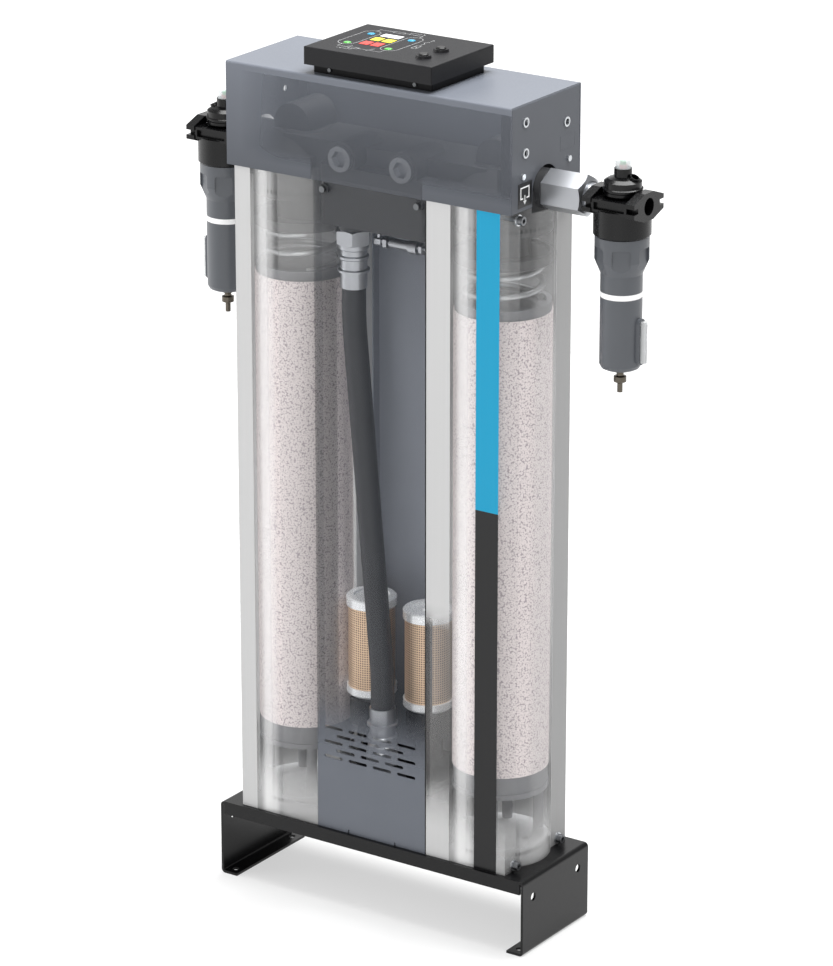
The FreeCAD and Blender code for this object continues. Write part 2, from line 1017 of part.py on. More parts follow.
for side in (-1, 1):
    x = side * tower_x
    block_tools.append(rod("z", chamber_passage, x, 0, plug_bottom - 1, plug_length))
    bore_start = tower_x if side > 0 else -limit - 1
    block_tools.append(rod("x", spigot_thread, bore_start, 0, port_z, port_boss_reach + 1))
    seat = flank_x + washer_thickness - bolt_grip
    seat_x = seat if side > 0 else -seat - bore_radius
    for row in (-1, 1):
        y = row * bolt_spacing / 2
        block_tools.append(rod("x", bolt_radius, seat_x, y, high_bolt_z, bore_radius))
        hole = end_screw_length + 2
        lug_x = lug_out - hole if side > 0 else -lug_out - 1
        block_tools.append(rod("x", end_screw_radius, lug_x, row * end_screw_spacing / 2, end_screw_z, hole + 1))
    valve_x = side * valve_spacing / 2
    valve_z = column_top + valve_rise
    valve_end = -boss_front - 1
    block_tools.append(rod("y", passage_radius, valve_x, valve_end, valve_z, valve_bore_end - valve_end))
    screw_x = side * cover_screw_spacing / 2
    block_tools.append(rod("y", cover_screw_radius, screw_x, -reach - 1, high_bolt_z, cover_hole + 1))
    block_tools.append(rod("y", cover_screw_radius, screw_x, reach - cover_hole, high_bolt_z, cover_hole + 1))
block_tools.append(rod("x", passage_radius, -tower_x, 0, column_top + cross_rise, tower_spacing))
riser = hose_port_drop + hose_passage + 1
block_tools.append(rod("z", passage_radius, hose_top_x, hose_line_y, hose_port_z - 1, riser))
keep(cut(join(block_parts), block_tools), "upper_valve_block")


# Hexagon socket plugs of the two shuttle valves
plugs = []
for side in (-1, 1):
    x = side * valve_spacing / 2
    z = column_top + valve_rise
    face = -boss_front
    head = rod("y", valve_plug_radius, x, face - valve_plug_height, z, valve_plug_height)
    stem = rod("y", passage_radius, x, face, z, valve_plug_stem)
    key = hexagon("y", valve_plug_key, x, face - valve_plug_height - 1, z, valve_key_depth + 1)
    plugs.append(cut(join([head, stem]), [key]))
group(plugs, "valve_plugs")


# Centre covers, with the row of vents in the front one
def obround(x, z, y, depth):
    middle = vent_length - vent_height
    return [
        box(x - middle / 2, x + middle / 2, y, y + depth, z - vent_height / 2, z + vent_height / 2),
        rod("y", vent_height / 2, x - middle / 2, y, z, depth),
        rod("y", vent_height / 2, x + middle / 2, y, z, depth),
    ]


cover_half = bay_half - cover_gap
cover_top = housing_bottom + cover_overlap


def centre_cover(turn, label, vents):
    face = front_face
    back = front_face + cover_sheet
    deep = back + cover_return
    parts = [box(-cover_half, cover_half, face, back, base_height, cover_top)]
    parts.append(box(-cover_half, cover_sheet - cover_half, face, deep, base_height, cover_top))
    parts.append(box(cover_half - cover_sheet, cover_half, face, deep, base_height, cover_top))
    tab = tab_width / 2
    parts.append(box(-tab, tab, face, back, base_height - tab_depth, base_height + 1))
    tools = []
    for side in (-1, 1):
        x = side * cover_screw_spacing / 2
        tools.append(rod("y", cover_screw_radius, x, face - 1, high_bolt_z, cover_sheet + 2))
        out_x, in_x = side * (tab + relief_width), side * tab
        low_x, high_x = (out_x, in_x) if side < 0 else (in_x, out_x)
        tools.append(box(low_x, high_x, face - 1, back + 1, base_height - 1, base_height + relief_height))
    if vents:
        for row in range(VENT_ROWS):
            z = base_height + vent_rise + vent_row_pitch * row
            count = VENTS_IN_ROW[row % len(VENTS_IN_ROW)]
            for place_in_row in range(count):
                x = vent_centre + vent_pitch * (place_in_row - (count - 1) / 2)
                tools.extend(obround(x, z, face - 1, cover_sheet + 2))
    keep(cut(join(parts), tools), label, turn)


centre_cover(0, "front_cover", True)
centre_cover(180, "rear_cover", False)
screws = []
for turn in (0, 180):
    for side in (-1, 1):
        x = side * cover_screw_spacing / 2
        head_y = front_face - cover_screw_head_height
        head = rod("y", cover_screw_head, x, head_y, high_bolt_z, cover_screw_head_height)
        shank = rod("y", cover_screw_radius, x, front_face, high_bolt_z, cover_screw_length)
        screw = join([head, shank])
        if turn:
            screw.Placement = FreeCAD.Placement(FreeCAD.Vector(0, 0, 0), FreeCAD.Rotation(180, 0, 0))
        screws.append(screw)
group(screws, "cover_screws")


# The housing: a folded hood closed by two end plates, both clear of what they stand over
def housing_reliefs():
    relief_x = flank_x + housing_relief
    relief_y = face_depth / 2 + housing_relief
    low = housing_bottom - 1
    reliefs = [box(-relief_x, relief_x, -relief_y, relief_y, low, column_top + housing_relief)]
    rise = flange_height + housing_relief
    for side in (-1, 1):
        x = side * tower_x
        reliefs.append(rod("z", flange_radius + housing_relief, x, 0, column_top, rise))
        low_radius = crown_low_radius + housing_relief
        high_radius = crown_high_radius + housing_relief
        reliefs.append(cone("z", low_radius, high_radius, x, 0, column_top + flange_height, crown_height))
    return reliefs


hood = drawn(
    "YZ_Plane",
    [
        (-(housing_depth / 2), housing_bottom),
        (-(housing_depth / 2), housing_top),
        (housing_depth / 2, housing_top),
        (housing_depth / 2, housing_bottom),
        (hood_inside, housing_bottom),
        (hood_inside, housing_top - housing_sheet),
        (-hood_inside, housing_top - housing_sheet),
        (-hood_inside, housing_bottom),
    ],
    housing_width,
    -end_face,
    0,
    0,
)


def hood_bend(edge):
    centre = edge.CenterOfMass
    return runs_along(edge, "x") and near(centre.z, housing_top)


keep(cut(soften(hood, housing_bend, hood_bend), housing_reliefs()), "housing_hood")


def end_plate(turn, label):
    face = end_face
    back = end_face - housing_sheet
    deep = back - end_return
    top = housing_top - housing_sheet
    window_half = port_window
    pan = box(deep, face, -hood_inside, hood_inside, housing_bottom, top)

    def rim(edge):
        centre = edge.CenterOfMass
        if not near(centre.x, face):
            return False
        return (runs_along(edge, "z") or runs_along(edge, "y")) and centre.z > number(housing_bottom) + 1

    pan = soften(pan, housing_sheet, rim)
    hollow_y = hood_inside - housing_sheet
    tools = housing_reliefs()
    tools.append(box(deep - 1, back, -hollow_y, hollow_y, housing_bottom - 1, top - housing_sheet))
    tools.append(rod("x", window_half, deep - 1, 0, port_z, end_return + housing_sheet + 2))
    tools.append(box(deep - 1, face + 1, -window_half, window_half, housing_bottom - 1, port_z))
    for row in (-1, 1):
        y = row * end_screw_spacing / 2
        tools.append(rod("x", end_screw_radius, deep, y, end_screw_z, end_return + housing_sheet + 1))
    for y, z in eyelet_spots():
        tools.append(rod("x", eyelet_hole + eyelet_sleeve, deep, y, z, end_return + housing_sheet + 1))
    keep(cut(pan, tools), label, turn)


def eyelet_spots():
    low = housing_bottom + eyelet_low
    high = housing_bottom + eyelet_high
    return [(-eyelet_offset, low), (-eyelet_offset, high), (eyelet_offset, (low + high) / 2)]


end_plate(0, "end_plate_right")
end_plate(180, "end_plate_left")
rings = []
end_screws = []
for turn in (0, 180):
    spun = FreeCAD.Placement(FreeCAD.Vector(0, 0, 0), FreeCAD.Rotation(turn, 0, 0))
    for y, z in eyelet_spots():
        collar = rod("x", eyelet_radius, end_face, y, z, eyelet_lip)
        sleeve = rod("x", eyelet_hole + eyelet_sleeve, end_face - housing_sheet, y, z, housing_sheet)
        through = housing_sheet + eyelet_lip + 2
        ring = cut(join([collar, sleeve]), [rod("x", eyelet_hole, end_face - housing_sheet - 1, y, z, through)])
        ring.Placement = spun
        rings.append(ring)
    for row in (-1, 1):
        y = row * end_screw_spacing / 2
        head = rod("x", end_screw_head, end_face, y, end_screw_z, end_screw_head_height)
        shank = rod("x", end_screw_radius, end_face - end_screw_length, y, end_screw_z, end_screw_length)
        screw = join([head, shank])
        screw.Placement = spun
        end_screws.append(screw)
group(rings, "end_plate_eyelets")
group(end_screws, "end_plate_screws")


# The hose, its crimped ferrules and union nuts
top_union = hose_port_z
ferrule_top = top_union - hose_nut_height
low_union = base_height + spigot_rise + elbow_drop
ferrule_low = low_union + hose_nut_height
hose_start = number(ferrule_top - ferrule_length + hose_grip)
hose_end = number(ferrule_low + ferrule_length - hose_grip)
lead = number(hose_lead) + number(hose_grip)
route = [
    FreeCAD.Vector(number(hose_top_x), number(hose_line_y), hose_start),
    FreeCAD.Vector(number(hose_top_x), number(hose_line_y), hose_start - lead),
    FreeCAD.Vector(number(hose_bottom_x), number(hose_line_y), hose_end + lead),
    FreeCAD.Vector(number(hose_bottom_x), number(hose_line_y), hose_end),
]
straight = 0.45 * number(hose_lead)
edges = []
spot = route[0]
for index in (1, 2):
    into = (route[index] - route[index - 1]).normalize()
    away = (route[index + 1] - route[index]).normalize()
    first = route[index] - into * straight
    last = route[index] + away * straight
    turn = into.getAngle(away)
    radius = straight / math.tan(turn / 2)
    inward = (away - into).normalize()
    middle = route[index] + inward * (radius / math.cos(turn / 2) - radius)
    edges.append(Part.LineSegment(spot, first).toShape())
    edges.append(Part.Arc(first, middle, last).toShape())
    print("hose bend radius %.0f" % radius)
    spot = last
edges.append(Part.LineSegment(spot, route[3]).toShape())
path = Part.Wire(edges)
ring = Part.Wire([Part.makeCircle(number(hose_radius), route[0], FreeCAD.Vector(0, 0, -1))])
hose = doc.addObject("Part::Feature", "Hose")
hose.Shape = path.makePipeShell([ring], True, False)
print("hose volume ratio %.4f" % (hose.Shape.Volume / (math.pi * number(hose_radius) ** 2 * path.Length)))
keep(hose, "hose")


def ferrule(x, foot, up):
    """A crimped sleeve with three ribs; it opens towards the hose."""
    step = ferrule_length / 10

    def level(count):
        return foot + up * count * step

    points = [
        (hose_bore, level(0)),
        (ferrule_rib, level(0)),
        (ferrule_rib, level(1)),
        (ferrule_radius, level(1.3)),
        (ferrule_radius, level(2.4)),
        (ferrule_rib, level(2.7)),
        (ferrule_rib, level(3.2)),
        (ferrule_radius, level(3.5)),
        (ferrule_radius, level(5.6)),
        (ferrule_collar, level(5.8)),
        (ferrule_collar, level(6.3)),
        (ferrule_radius, level(6.5)),
        (ferrule_radius, level(10)),
        (hose_radius, level(10)),
        (hose_radius, foot + up * (ferrule_length - hose_grip)),
        (hose_bore, foot + up * (ferrule_length - hose_grip)),
    ]
    return turned(points, x, hose_line_y)


group(
    [ferrule(hose_top_x, ferrule_top, -1), ferrule(hose_bottom_x, ferrule_low, 1)], "hose_ferrules"
)
nuts = []
for x, z in ((hose_top_x, ferrule_top), (hose_bottom_x, low_union)):
    nut = hexagon("z", hose_nut_key, x, hose_line_y, z, hose_nut_height)
    bevel = turned(
        [
            (0, z),
            (hose_nut_key / 2, z),
            (hose_nut_key / math.sqrt(3), z + nut_bevel),
            (hose_nut_key / math.sqrt(3), z + hose_nut_height - nut_bevel),
            (hose_nut_key / 2, z + hose_nut_height),
            (0, z + hose_nut_height),
        ],
        x,
        hose_line_y,
    )
    nuts.append(cut(common(nut, bevel), [rod("z", hose_bore, x, hose_line_y, z - 1, hose_nut_height + 2)]))
group(nuts, "hose_nuts")


# The lower block between the towers, its elbow, exhaust valves and silencers
lower_bottom = base_height + lower_block_rise
lower_top = lower_bottom + lower_block_height
spigot_z = base_height + spigot_rise
lower = box(-bay_half, bay_half, -lower_block_front, lower_block_back, lower_bottom, lower_top)
reach = bay_half + lower_spigot_length
spigots = rod("x", spigot_radius, -reach, 0, spigot_z, 2 * reach)
bores = [
    rod("x", spigot_bore, -reach - 1, 0, spigot_z, 2 * reach + 2),
    rod("y", elbow_bore, hose_bottom_x, -lower_block_front - 1, spigot_z, elbow_bore_depth),
]
bore_foot = spigot_z - exhaust_bore_drop
for x in (silencer_left_x, silencer_right_x):
    bores.append(rod("z", exhaust_bore, x, silencer_y, bore_foot, lower_top - bore_foot + 1))
keep(cut(join([lower, spigots]), bores), "lower_valve_block")

elbow_top = spigot_z + elbow_drop
elbow_waist = elbow_top - elbow_collar_height
elbow_end = -lower_block_front
elbow_parts = [
    rod("z", elbow_radius, hose_bottom_x, hose_line_y, spigot_z, elbow_waist - spigot_z),
    rod("z", elbow_collar_radius, hose_bottom_x, hose_line_y, elbow_waist, elbow_collar_height),
    rod("y", elbow_radius, hose_bottom_x, hose_line_y, spigot_z, elbow_end - hose_line_y),
    hexagon("y", elbow_nut_key, hose_bottom_x, elbow_end - elbow_nut_length, spigot_z, elbow_nut_length),
]
ball = doc.addObject("Part::Sphere", "Ball")
bind(ball, "Radius", elbow_radius)
place(ball, "z", hose_bottom_x, hose_line_y, spigot_z)
keep(join(elbow_parts + [ball]), "hose_elbow")


def exhaust_valve(x, name):
    """A stacked valve: square seat, round waist, square actuator with corner screws."""
    half_width = valve_body_width / 2
    low = lower_top
    high = lower_top + valve_body_height
    seat_top = low + valve_seat
    cap_low = high - valve_cap
    y0 = silencer_y - half_width
    y1 = silencer_y + half_width
    seat = soften(box(x - half_width, x + half_width, y0, y1, low, seat_top), valve_body_round, upright)
    actuator = soften(box(x - half_width, x + half_width, y0, y1, cap_low, high), valve_body_round, upright)
    waist = rod("z", half_width - valve_waist_inset, x, silencer_y, seat_top - 1, cap_low - seat_top + 2)
    outlet = rod("z", exhaust_bore, x, silencer_y, low - 1, valve_body_height + 2)
    parts = [seat, actuator, waist]
    screw_y = y0 - valve_screw_head
    for foot, head in ((low, seat_top), (cap_low, high)):
        for level in (foot + valve_screw_rise, head - valve_screw_rise):
            for step in (-1, 1):
                screw_x = x + step * (half_width - valve_screw_inset)
                parts.append(rod("y", valve_screw_radius, screw_x, screw_y, level, valve_screw_head + 1))
    keep(cut(join(parts), [outlet]), "exhaust_valve_" + name)


def silencer(x, name):
    low = lower_top + valve_body_height
    stem_top = low + silencer_stem
    high = stem_top + silencer_height
    bevel = silencer_foot_bevel
    lower_cap = turned(
        [
            (silencer_bore, low),
            (silencer_stem_radius, low),
            (silencer_stem_radius, stem_top),
            (silencer_radius - bevel, stem_top),
            (silencer_radius, stem_top + bevel),
            (silencer_radius, stem_top + silencer_cap),
            (silencer_bore, stem_top + silencer_cap),
        ],
        x,
        silencer_y,
    )
    upper_cap = turned(
        [
            (0, high - silencer_cap),
            (silencer_radius, high - silencer_cap),
            (silencer_radius, high - silencer_edge),
            (silencer_radius - silencer_edge, high),
            (dish_radius, high),
            (dish_radius - dish_slope, high - dish_depth),
            (hub_radius + hub_slope, high - dish_depth),
            (hub_radius, high),
            (0, high),
        ],
        x,
        silencer_y,
    )
    group([lower_cap, upper_cap], "silencer_caps_" + name)
    foot = stem_top + silencer_cap
    head = high - silencer_cap
    mesh = turned(
        [(mesh_radius - mesh_wall, foot), (mesh_radius, foot), (mesh_radius, head), (mesh_radius - mesh_wall, head)],
        x,
        silencer_y,
    )
    keep(mesh, "silencer_mesh_" + name)


for x, name in ((silencer_left_x, "left"), (silencer_right_x, "right")):
    exhaust_valve(x, name)
    silencer(x, name)


# The purge line: unions, a check valve and an adjusting screw in a row
line_z = block_bottom - purge_drop
purge_end = purge_start + purge_length
adjuster_start = check_valve_start + check_valve_length
purge_parts = [rod("x", purge_tube, purge_start, purge_y, line_z, purge_length)]
for x in (purge_start + purge_riser_in, purge_end - purge_riser_out):
    purge_parts.append(rod("z", purge_tube, x, purge_y, line_z, purge_drop))
for start, length, key in (
    (0, union_length, union_key),
    (lock_start, lock_length, lock_key),
    (adjuster_nut_start, adjuster_nut_length, adjuster_nut_key),
):
    purge_parts.append(hexagon("x", key, purge_start + start, purge_y, line_z, length))
for start, length, radius in (
    (check_valve_start, check_valve_length, check_valve_radius),
    (adjuster_start, adjuster_length, adjuster_radius),
    (purge_length - purge_end_length, purge_end_length, purge_end_radius),
):
    purge_parts.append(rod("x", radius, purge_start + start, purge_y, line_z, length))
keep(join(purge_parts), "purge_line")


# Port adaptors, filters and their gauges; the left set is the right one turned half way round,
# closer to the housing because its hexagon is shorter
adaptor_start = tower_x + port_boss_reach
head_low = port_z - head_plate / 2
head_high = port_z + head_plate / 2
collar_low = head_low - collar_height
bowl_low = collar_low - bowl_length
gauge_top = head_high + gauge_height
neck_top = gauge_top + gauge_neck_height


def port_adaptor(turn, name, hexagon_length, head_start):
    shoulder = hex_key / math.sqrt(3)
    bar = hexagon("x", hex_key, adaptor_start, 0, port_z, hexagon_length)
    length = hexagon_length - hex_bevel_length
    bevel_end = hex_key / 2 - hex_bevel_depth
    bevel = join(
        [
            rod("x", shoulder, adaptor_start, 0, port_z, length),
            cone("x", shoulder, bevel_end, adaptor_start + length, 0, port_z, hex_bevel_length),
        ]
    )
    neck_start = adaptor_start + length
    inner_end = adaptor_start - spigot_length
    parts = [common(bar, bevel)]
    parts.append(rod("x", hex_neck_radius, neck_start, 0, port_z, head_start - neck_start))
    parts.append(rod("x", spigot_thread, inner_end, 0, port_z, spigot_length + 1))
    parts.append(rod("x", port_radius, head_start - 1, 0, port_z, nipple_length + 1))
    bore = rod("x", adaptor_bore, inner_end - 1, 0, port_z, head_start)
    keep(cut(join(parts), [bore]), "adaptor_" + name, turn)


def filter_head(turn, name, head_start):
    """A cast head: a waist between two winged flanges, with the bowl collar below."""
    head_end = head_start + head_length
    middle = head_start + head_length / 2
    half = head_half_depth
    waist_half = head_half_depth - head_waist_inset
    waist = box(head_start, head_end, -waist_half, waist_half, head_low, head_high)
    parts = [waist]
    wing = [
        (-half, -(ear_height / 2)),
        (-half, ear_height / 2),
        (-crown_half, flange_rise),
        (crown_half, flange_rise),
        (half, ear_height / 2),
        (half, -(ear_height / 2)),
        (crown_half, -flange_rise),
        (-crown_half, -flange_rise),
    ]
    for start in (head_start, head_end - head_flange):
        parts.append(drawn("YZ_Plane", wing, head_flange, start, 0, port_z))
    bevel_top = collar_low + collar_bevel
    parts.append(rod("z", collar_radius, middle, 0, bevel_top, collar_height))
    parts.append(cone("z", collar_radius - collar_bevel, collar_radius, middle, 0, collar_low, collar_bevel))
    tools = []
    notch_low = port_z - ear_notch / 2
    notch_high = port_z + ear_notch / 2
    inset = head_start + head_flange + head_pocket_margin
    outset = head_end - head_flange - head_pocket_margin
    pocket_low = head_low + head_pocket_margin
    pocket_high = head_high - head_pocket_margin
    for side in (-1, 1):
        low_y, high_y = sorted((side * (half + 1), side * (half - ear_notch_depth - 1)), key=number)
        for start in (head_start - 1, head_end - head_flange):
            tools.append(box(start, start + head_flange + 1, low_y, high_y, notch_low, notch_high))
        low_y, high_y = sorted((side * (waist_half + 1), side * (waist_half - waist_pocket)), key=number)
        tools.append(box(inset, outset, low_y, high_y, pocket_low, pocket_high))
    for start in (head_start - 1, head_end - port_depth):
        tools.append(rod("x", port_radius, start, 0, port_z, port_depth + 1))
    tools.append(rod("x", port_throat, head_start, 0, port_z, head_length))
    tools.append(rod("z", bowl_spigot_radius, middle, 0, collar_low - 1, bowl_socket_depth + 1))
    tools.append(rod("z", bowl_throat, middle, 0, collar_low - 1, collar_height + 2))
    keep(cut(join(parts), tools), "filter_head_" + name, turn)


def filter_bowl(turn, name, middle):
    grip_low = collar_low - bowl_grip
    taper_low = grip_low - bowl_taper
    body = turned(
        [
            (0, collar_low + bowl_spigot_height),
            (bowl_spigot_radius, collar_low + bowl_spigot_height),
            (bowl_spigot_radius, collar_low),
            (bowl_top_radius, collar_low),
            (bowl_top_radius, grip_low),
            (bowl_radius, taper_low),
            (bowl_radius, bowl_low + bowl_round),
            (bowl_radius - bowl_round / 3, bowl_low + bowl_round / 3),
            (bowl_radius - bowl_round, bowl_low),
            (0, bowl_low),
        ],
        middle,
        0,
    )
    tools = []
    for index in range(GRIPS):
        window = box(
            bowl_top_radius - grip_depth,
            bowl_top_radius + 2,
            -(grip_width / 2),
            grip_width / 2,
            taper_low + grip_foot,
            collar_low - grip_drop,
        )
        window = soften(window, grip_round, lambda edge: runs_along(edge, "x"))
        window.Placement = FreeCAD.Placement(
            FreeCAD.Vector(number(middle), 0, 0), FreeCAD.Rotation(360 / GRIPS * index, 0, 0)
        )
        bind(window, "Placement.Base.x", middle)
        tools.append(window)
    body = cut(body, tools)
    half_width = sight_width / 2
    low_end = bowl_low + sight_rise + half_width
    high_end = bowl_low + sight_rise + sight_height - half_width
    root = middle + bowl_radius - sight_sink
    face = middle + bowl_radius + sight_lift
    frame_parts = [
        box(root, face, -half_width, half_width, low_end, high_end),
        rod("x", half_width, root, 0, low_end, sight_sink + sight_lift),
        rod("x", half_width, root, 0, high_end, sight_sink + sight_lift),
    ]
    keep(join([body] + frame_parts), "filter_bowl_" + name, turn)


def filter_gauge(turn, name, x):
    """Pressure drop gauge: a body on the head, a clear dome and the plunger in it."""
    low = head_high
    room = piston_radius + piston_gap
    wide = gauge_radius - gauge_edge
    waist = gauge_radius - gauge_rib_depth
    rib_low = low + gauge_rib_rise
    rib_high = rib_low + gauge_rib_height
    body = turned(
        [
            (room, low),
            (gauge_radius - gauge_foot_inset, low),
            (wide, low + gauge_foot_bevel),
            (wide, low + gauge_foot_height),
            (waist, low + gauge_foot_height + gauge_edge),
            (waist, rib_low - gauge_edge),
            (gauge_radius, rib_low),
            (gauge_radius, rib_high),
            (waist, rib_high + 2 * gauge_edge),
            (waist, gauge_top - gauge_shoulder_drop),
            (gauge_radius - gauge_shoulder_inset, gauge_top - gauge_crown_drop),
            (gauge_neck, gauge_top),
            (gauge_neck, neck_top),
            (room, neck_top),
        ],
        x,
        0,
    )
    outward = -1 if turn else 1
    tilt = FreeCAD.Rotation(FreeCAD.Vector(0, 1, 0), outward * number(test_port_tilt))
    ends = []
    for radius, drop, length in (
        (test_port_radius, test_port_sink, test_port_sink + test_port_proud),
        (test_port_bore, test_port_depth - test_port_proud, test_port_depth + 1),
    ):
        bar = doc.addObject("Part::Cylinder", "Round")
        bar.Placement = FreeCAD.Placement(FreeCAD.Vector(0, 0, 0), tilt)
        bind(bar, "Radius", radius)
        bind(bar, "Height", length)
        foot = tilt.multVec(FreeCAD.Vector(0, 0, -number(drop)))
        bind(bar, "Placement.Base.x", x + outward * test_port_offset + foot.x)
        bind(bar, "Placement.Base.z", gauge_top + foot.z)
        ends.append(bar)
    keep(cut(join([body, ends[0]]), [ends[1]]), "gauge_body_" + name)
    outer = gauge_cap_radius
    inner = gauge_cap_radius - gauge_cap_wall
    crown = neck_top + gauge_cap_height
    ceiling = crown - gauge_cap_wall
    bevel = gauge_cap_bevel
    cap = turned(
        [
            (inner, neck_top),
            (outer, neck_top),
            (outer, crown - gauge_cap_round),
            (outer - bevel, crown - bevel),
            (outer - gauge_cap_round, crown),
            (0, crown),
            (0, ceiling),
            (inner - gauge_cap_round + bevel, ceiling),
            (inner, crown - gauge_cap_round),
        ],
        x,
        0,
    )
    keep(cap, "gauge_cap_" + name)
    rest = low + piston_gap
    tip_low = neck_top + piston_rise
    tip = piston_radius - piston_tip_step
    piston = turned(
        [
            (0, rest),
            (piston_radius, rest),
            (piston_radius, tip_low),
            (tip, tip_low),
            (tip, tip_low + piston_tip_height),
            (0, tip_low + piston_tip_height),
        ],
        x,
        0,
    )
    keep(piston, "gauge_piston_" + name)


def sight_glass(middle):
    low = bowl_low + sight_rise + glass_inset
    height = sight_height - 2 * glass_inset
    seat = middle + bowl_radius + sight_lift
    column = rod("z", glass_radius, seat + glass_radius - glass_sink, 0, low, height)
    trim = box(seat, seat + 2 * glass_radius, -glass_radius, glass_radius, low, low + height)
    return common(column, trim)


def drain_valve(x):
    collar_end = bowl_low - drain_collar_height
    waist_end = collar_end - drain_waist_height
    knob_start = waist_end - drain_step
    knob_end = knob_start - drain_knob_height
    return turned(
        [
            (0, bowl_low),
            (drain_collar, bowl_low),
            (drain_collar, collar_end),
            (drain_waist, collar_end - drain_step),
            (drain_waist, waist_end),
            (drain_knob, knob_start),
            (drain_knob, knob_end),
            (drain_nozzle, knob_end - drain_taper),
            (drain_nozzle, bowl_low - drain_length),
            (0, bowl_low - drain_length),
        ],
        x,
        0,
    )


glasses = []
drains = []
for turn, name, hexagon_length in ((180, "left", inlet_hex_length), (0, "right", hex_length)):
    head_start = adaptor_start + hexagon_length + hex_neck
    middle = head_start + head_length / 2
    port_adaptor(turn, name, hexagon_length, head_start)
    filter_head(turn, name, head_start)
    filter_bowl(turn, name, middle)
    x = -middle if turn else middle
    filter_gauge(turn, name, x)
    drains.append(drain_valve(x))
    spun = FreeCAD.Placement(FreeCAD.Vector(0, 0, 0), FreeCAD.Rotation(turn, 0, 0))
    glass = sight_glass(middle)
    glass.Placement = spun
    glasses.append(glass)
group(glasses, "sight_glasses")
group(drains, "drain_valves")


# The controller on top of the housing
lid_bottom = housing_top + controller_lift
lid_top = lid_bottom + lid_height
lid_half = controller_width / 2
under_lid = lid_top - lid_wall
tray_half = lid_half - tray_inset_x
tray_front = tray_inset_y - controller_front
tray_back = controller_back - tray_inset_y
tray = box(-tray_half, tray_half, tray_front, tray_back, housing_top, under_lid)
tray = soften(tray, tray_round, upright)
tray_room = box(
    tray_wall - tray_half,
    tray_half - tray_wall,
    tray_front + tray_wall,
    tray_back - tray_wall,
    housing_top + tray_wall,
    under_lid + 1,
)
keep(cut(tray, [tray_room]), "controller_tray")
lid = box(-lid_half, lid_half, -controller_front, controller_back, lid_bottom, lid_top)
lid = soften(lid, lid_round, lambda edge: upright(edge) or near(edge.CenterOfMass.z, lid_top))
lid_room = box(
    lid_wall - lid_half,
    lid_half - lid_wall,
    lid_wall - controller_front,
    controller_back - lid_wall,
    lid_bottom - 1,
    under_lid,
)
button_spots = ((button_front_y, "front"), (button_back_y, "back"))
bezels = []
button_holes = []
for y, name in button_spots:
    bezel_low = lid_top - bezel_sink
    bezel = cone("z", bezel_radius, bezel_radius - bezel_bevel, button_x, y, bezel_low, bezel_height + bezel_sink)
    bezels.append(bezel)
    hole_z = under_lid - 1
    button_holes.append(rod("z", button_radius + button_gap, button_x, y, hole_z, lid_wall + bezel_height + 2))
keep(cut(join([cut(lid, [lid_room])] + bezels), button_holes), "controller_lid")
for y, name in button_spots:
    top = lid_top + bezel_height + button_proud
    low = under_lid - button_gap - button_flange
    button = turned(
        [
            (0, low),
            (button_radius + button_skirt, low),
            (button_radius + button_skirt, low + button_flange),
            (button_radius, low + button_flange),
            (button_radius, top - button_bevel),
            (button_radius - button_bevel, top),
            (0, top),
        ],
        button_x,
        y,
    )
    keep(button, "button_" + name)
fixings = []
for side in (-1, 1):
    x = side * tray_screw_spacing / 2
    y = tray_front - tray_screw_head
    fixings.append(rod("y", tray_screw_radius, x, y, housing_top + tray_screw_rise, tray_screw_head))
group(fixings, "controller_screws")


# Check every object, then write each piece
doc.recompute()
for thing in doc.Objects:
    if "Invalid" in thing.State or "Error" in thing.State:
        raise RuntimeError("%s (%s) failed" % (thing.Name, thing.Label))
os.makedirs("parts", exist_ok=True)
for thing in pieces:
    shape = thing.Shape
    if shape.isNull() or not shape.isValid():
        raise RuntimeError("%s has no valid shape" % thing.Label)
for thing in pieces:
    thing.Shape.exportStep("parts/%s.step" % thing.Label)
print("%d pieces written" % len(pieces))
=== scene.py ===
"""Finishes, prints and stage for a twin tower air dryer, laid out as an add-on and run as a script."""

import math

import bmesh
import bpy
from bpy.props import FloatProperty, FloatVectorProperty, PointerProperty
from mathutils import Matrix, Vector


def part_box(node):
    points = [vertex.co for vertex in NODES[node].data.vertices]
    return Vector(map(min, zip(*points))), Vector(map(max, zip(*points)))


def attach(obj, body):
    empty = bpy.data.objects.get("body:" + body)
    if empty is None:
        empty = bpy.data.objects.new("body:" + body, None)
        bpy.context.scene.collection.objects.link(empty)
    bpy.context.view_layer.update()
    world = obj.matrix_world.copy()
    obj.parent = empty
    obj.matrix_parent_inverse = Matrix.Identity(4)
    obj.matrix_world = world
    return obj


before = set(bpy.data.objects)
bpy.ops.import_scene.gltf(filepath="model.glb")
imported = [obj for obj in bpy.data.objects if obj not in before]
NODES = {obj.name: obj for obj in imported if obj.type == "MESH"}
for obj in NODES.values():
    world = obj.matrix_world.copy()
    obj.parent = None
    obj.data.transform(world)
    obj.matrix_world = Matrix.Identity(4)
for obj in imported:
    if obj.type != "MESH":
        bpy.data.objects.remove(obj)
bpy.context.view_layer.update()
MM = 0.001

bl_info = {
    "name": "Twin Tower Dryer Finishes",
    "version": (1, 0, 0),
    "blender": (4, 5, 0),
    "location": "View3D > Sidebar > Dryer",
    "description": "Gives the dryer's pieces their finishes, adds its prints and sets the stage",
    "category": "Object",
}


def linear(hex_colour):
    """An sRGB hex colour as the linear red, green and blue that shaders take."""
    shares = [int(hex_colour[place : place + 2], 16) / 255 for place in (1, 3, 5)]
    return tuple(s / 12.92 if s <= 0.04045 else ((s + 0.055) / 1.055) ** 2.4 for s in shares)


def colour_setting(name, description, hex_colour):
    return FloatVectorProperty(
        name=name, description=description, subtype="COLOR", size=3, min=0, max=1, default=linear(hex_colour)
    )


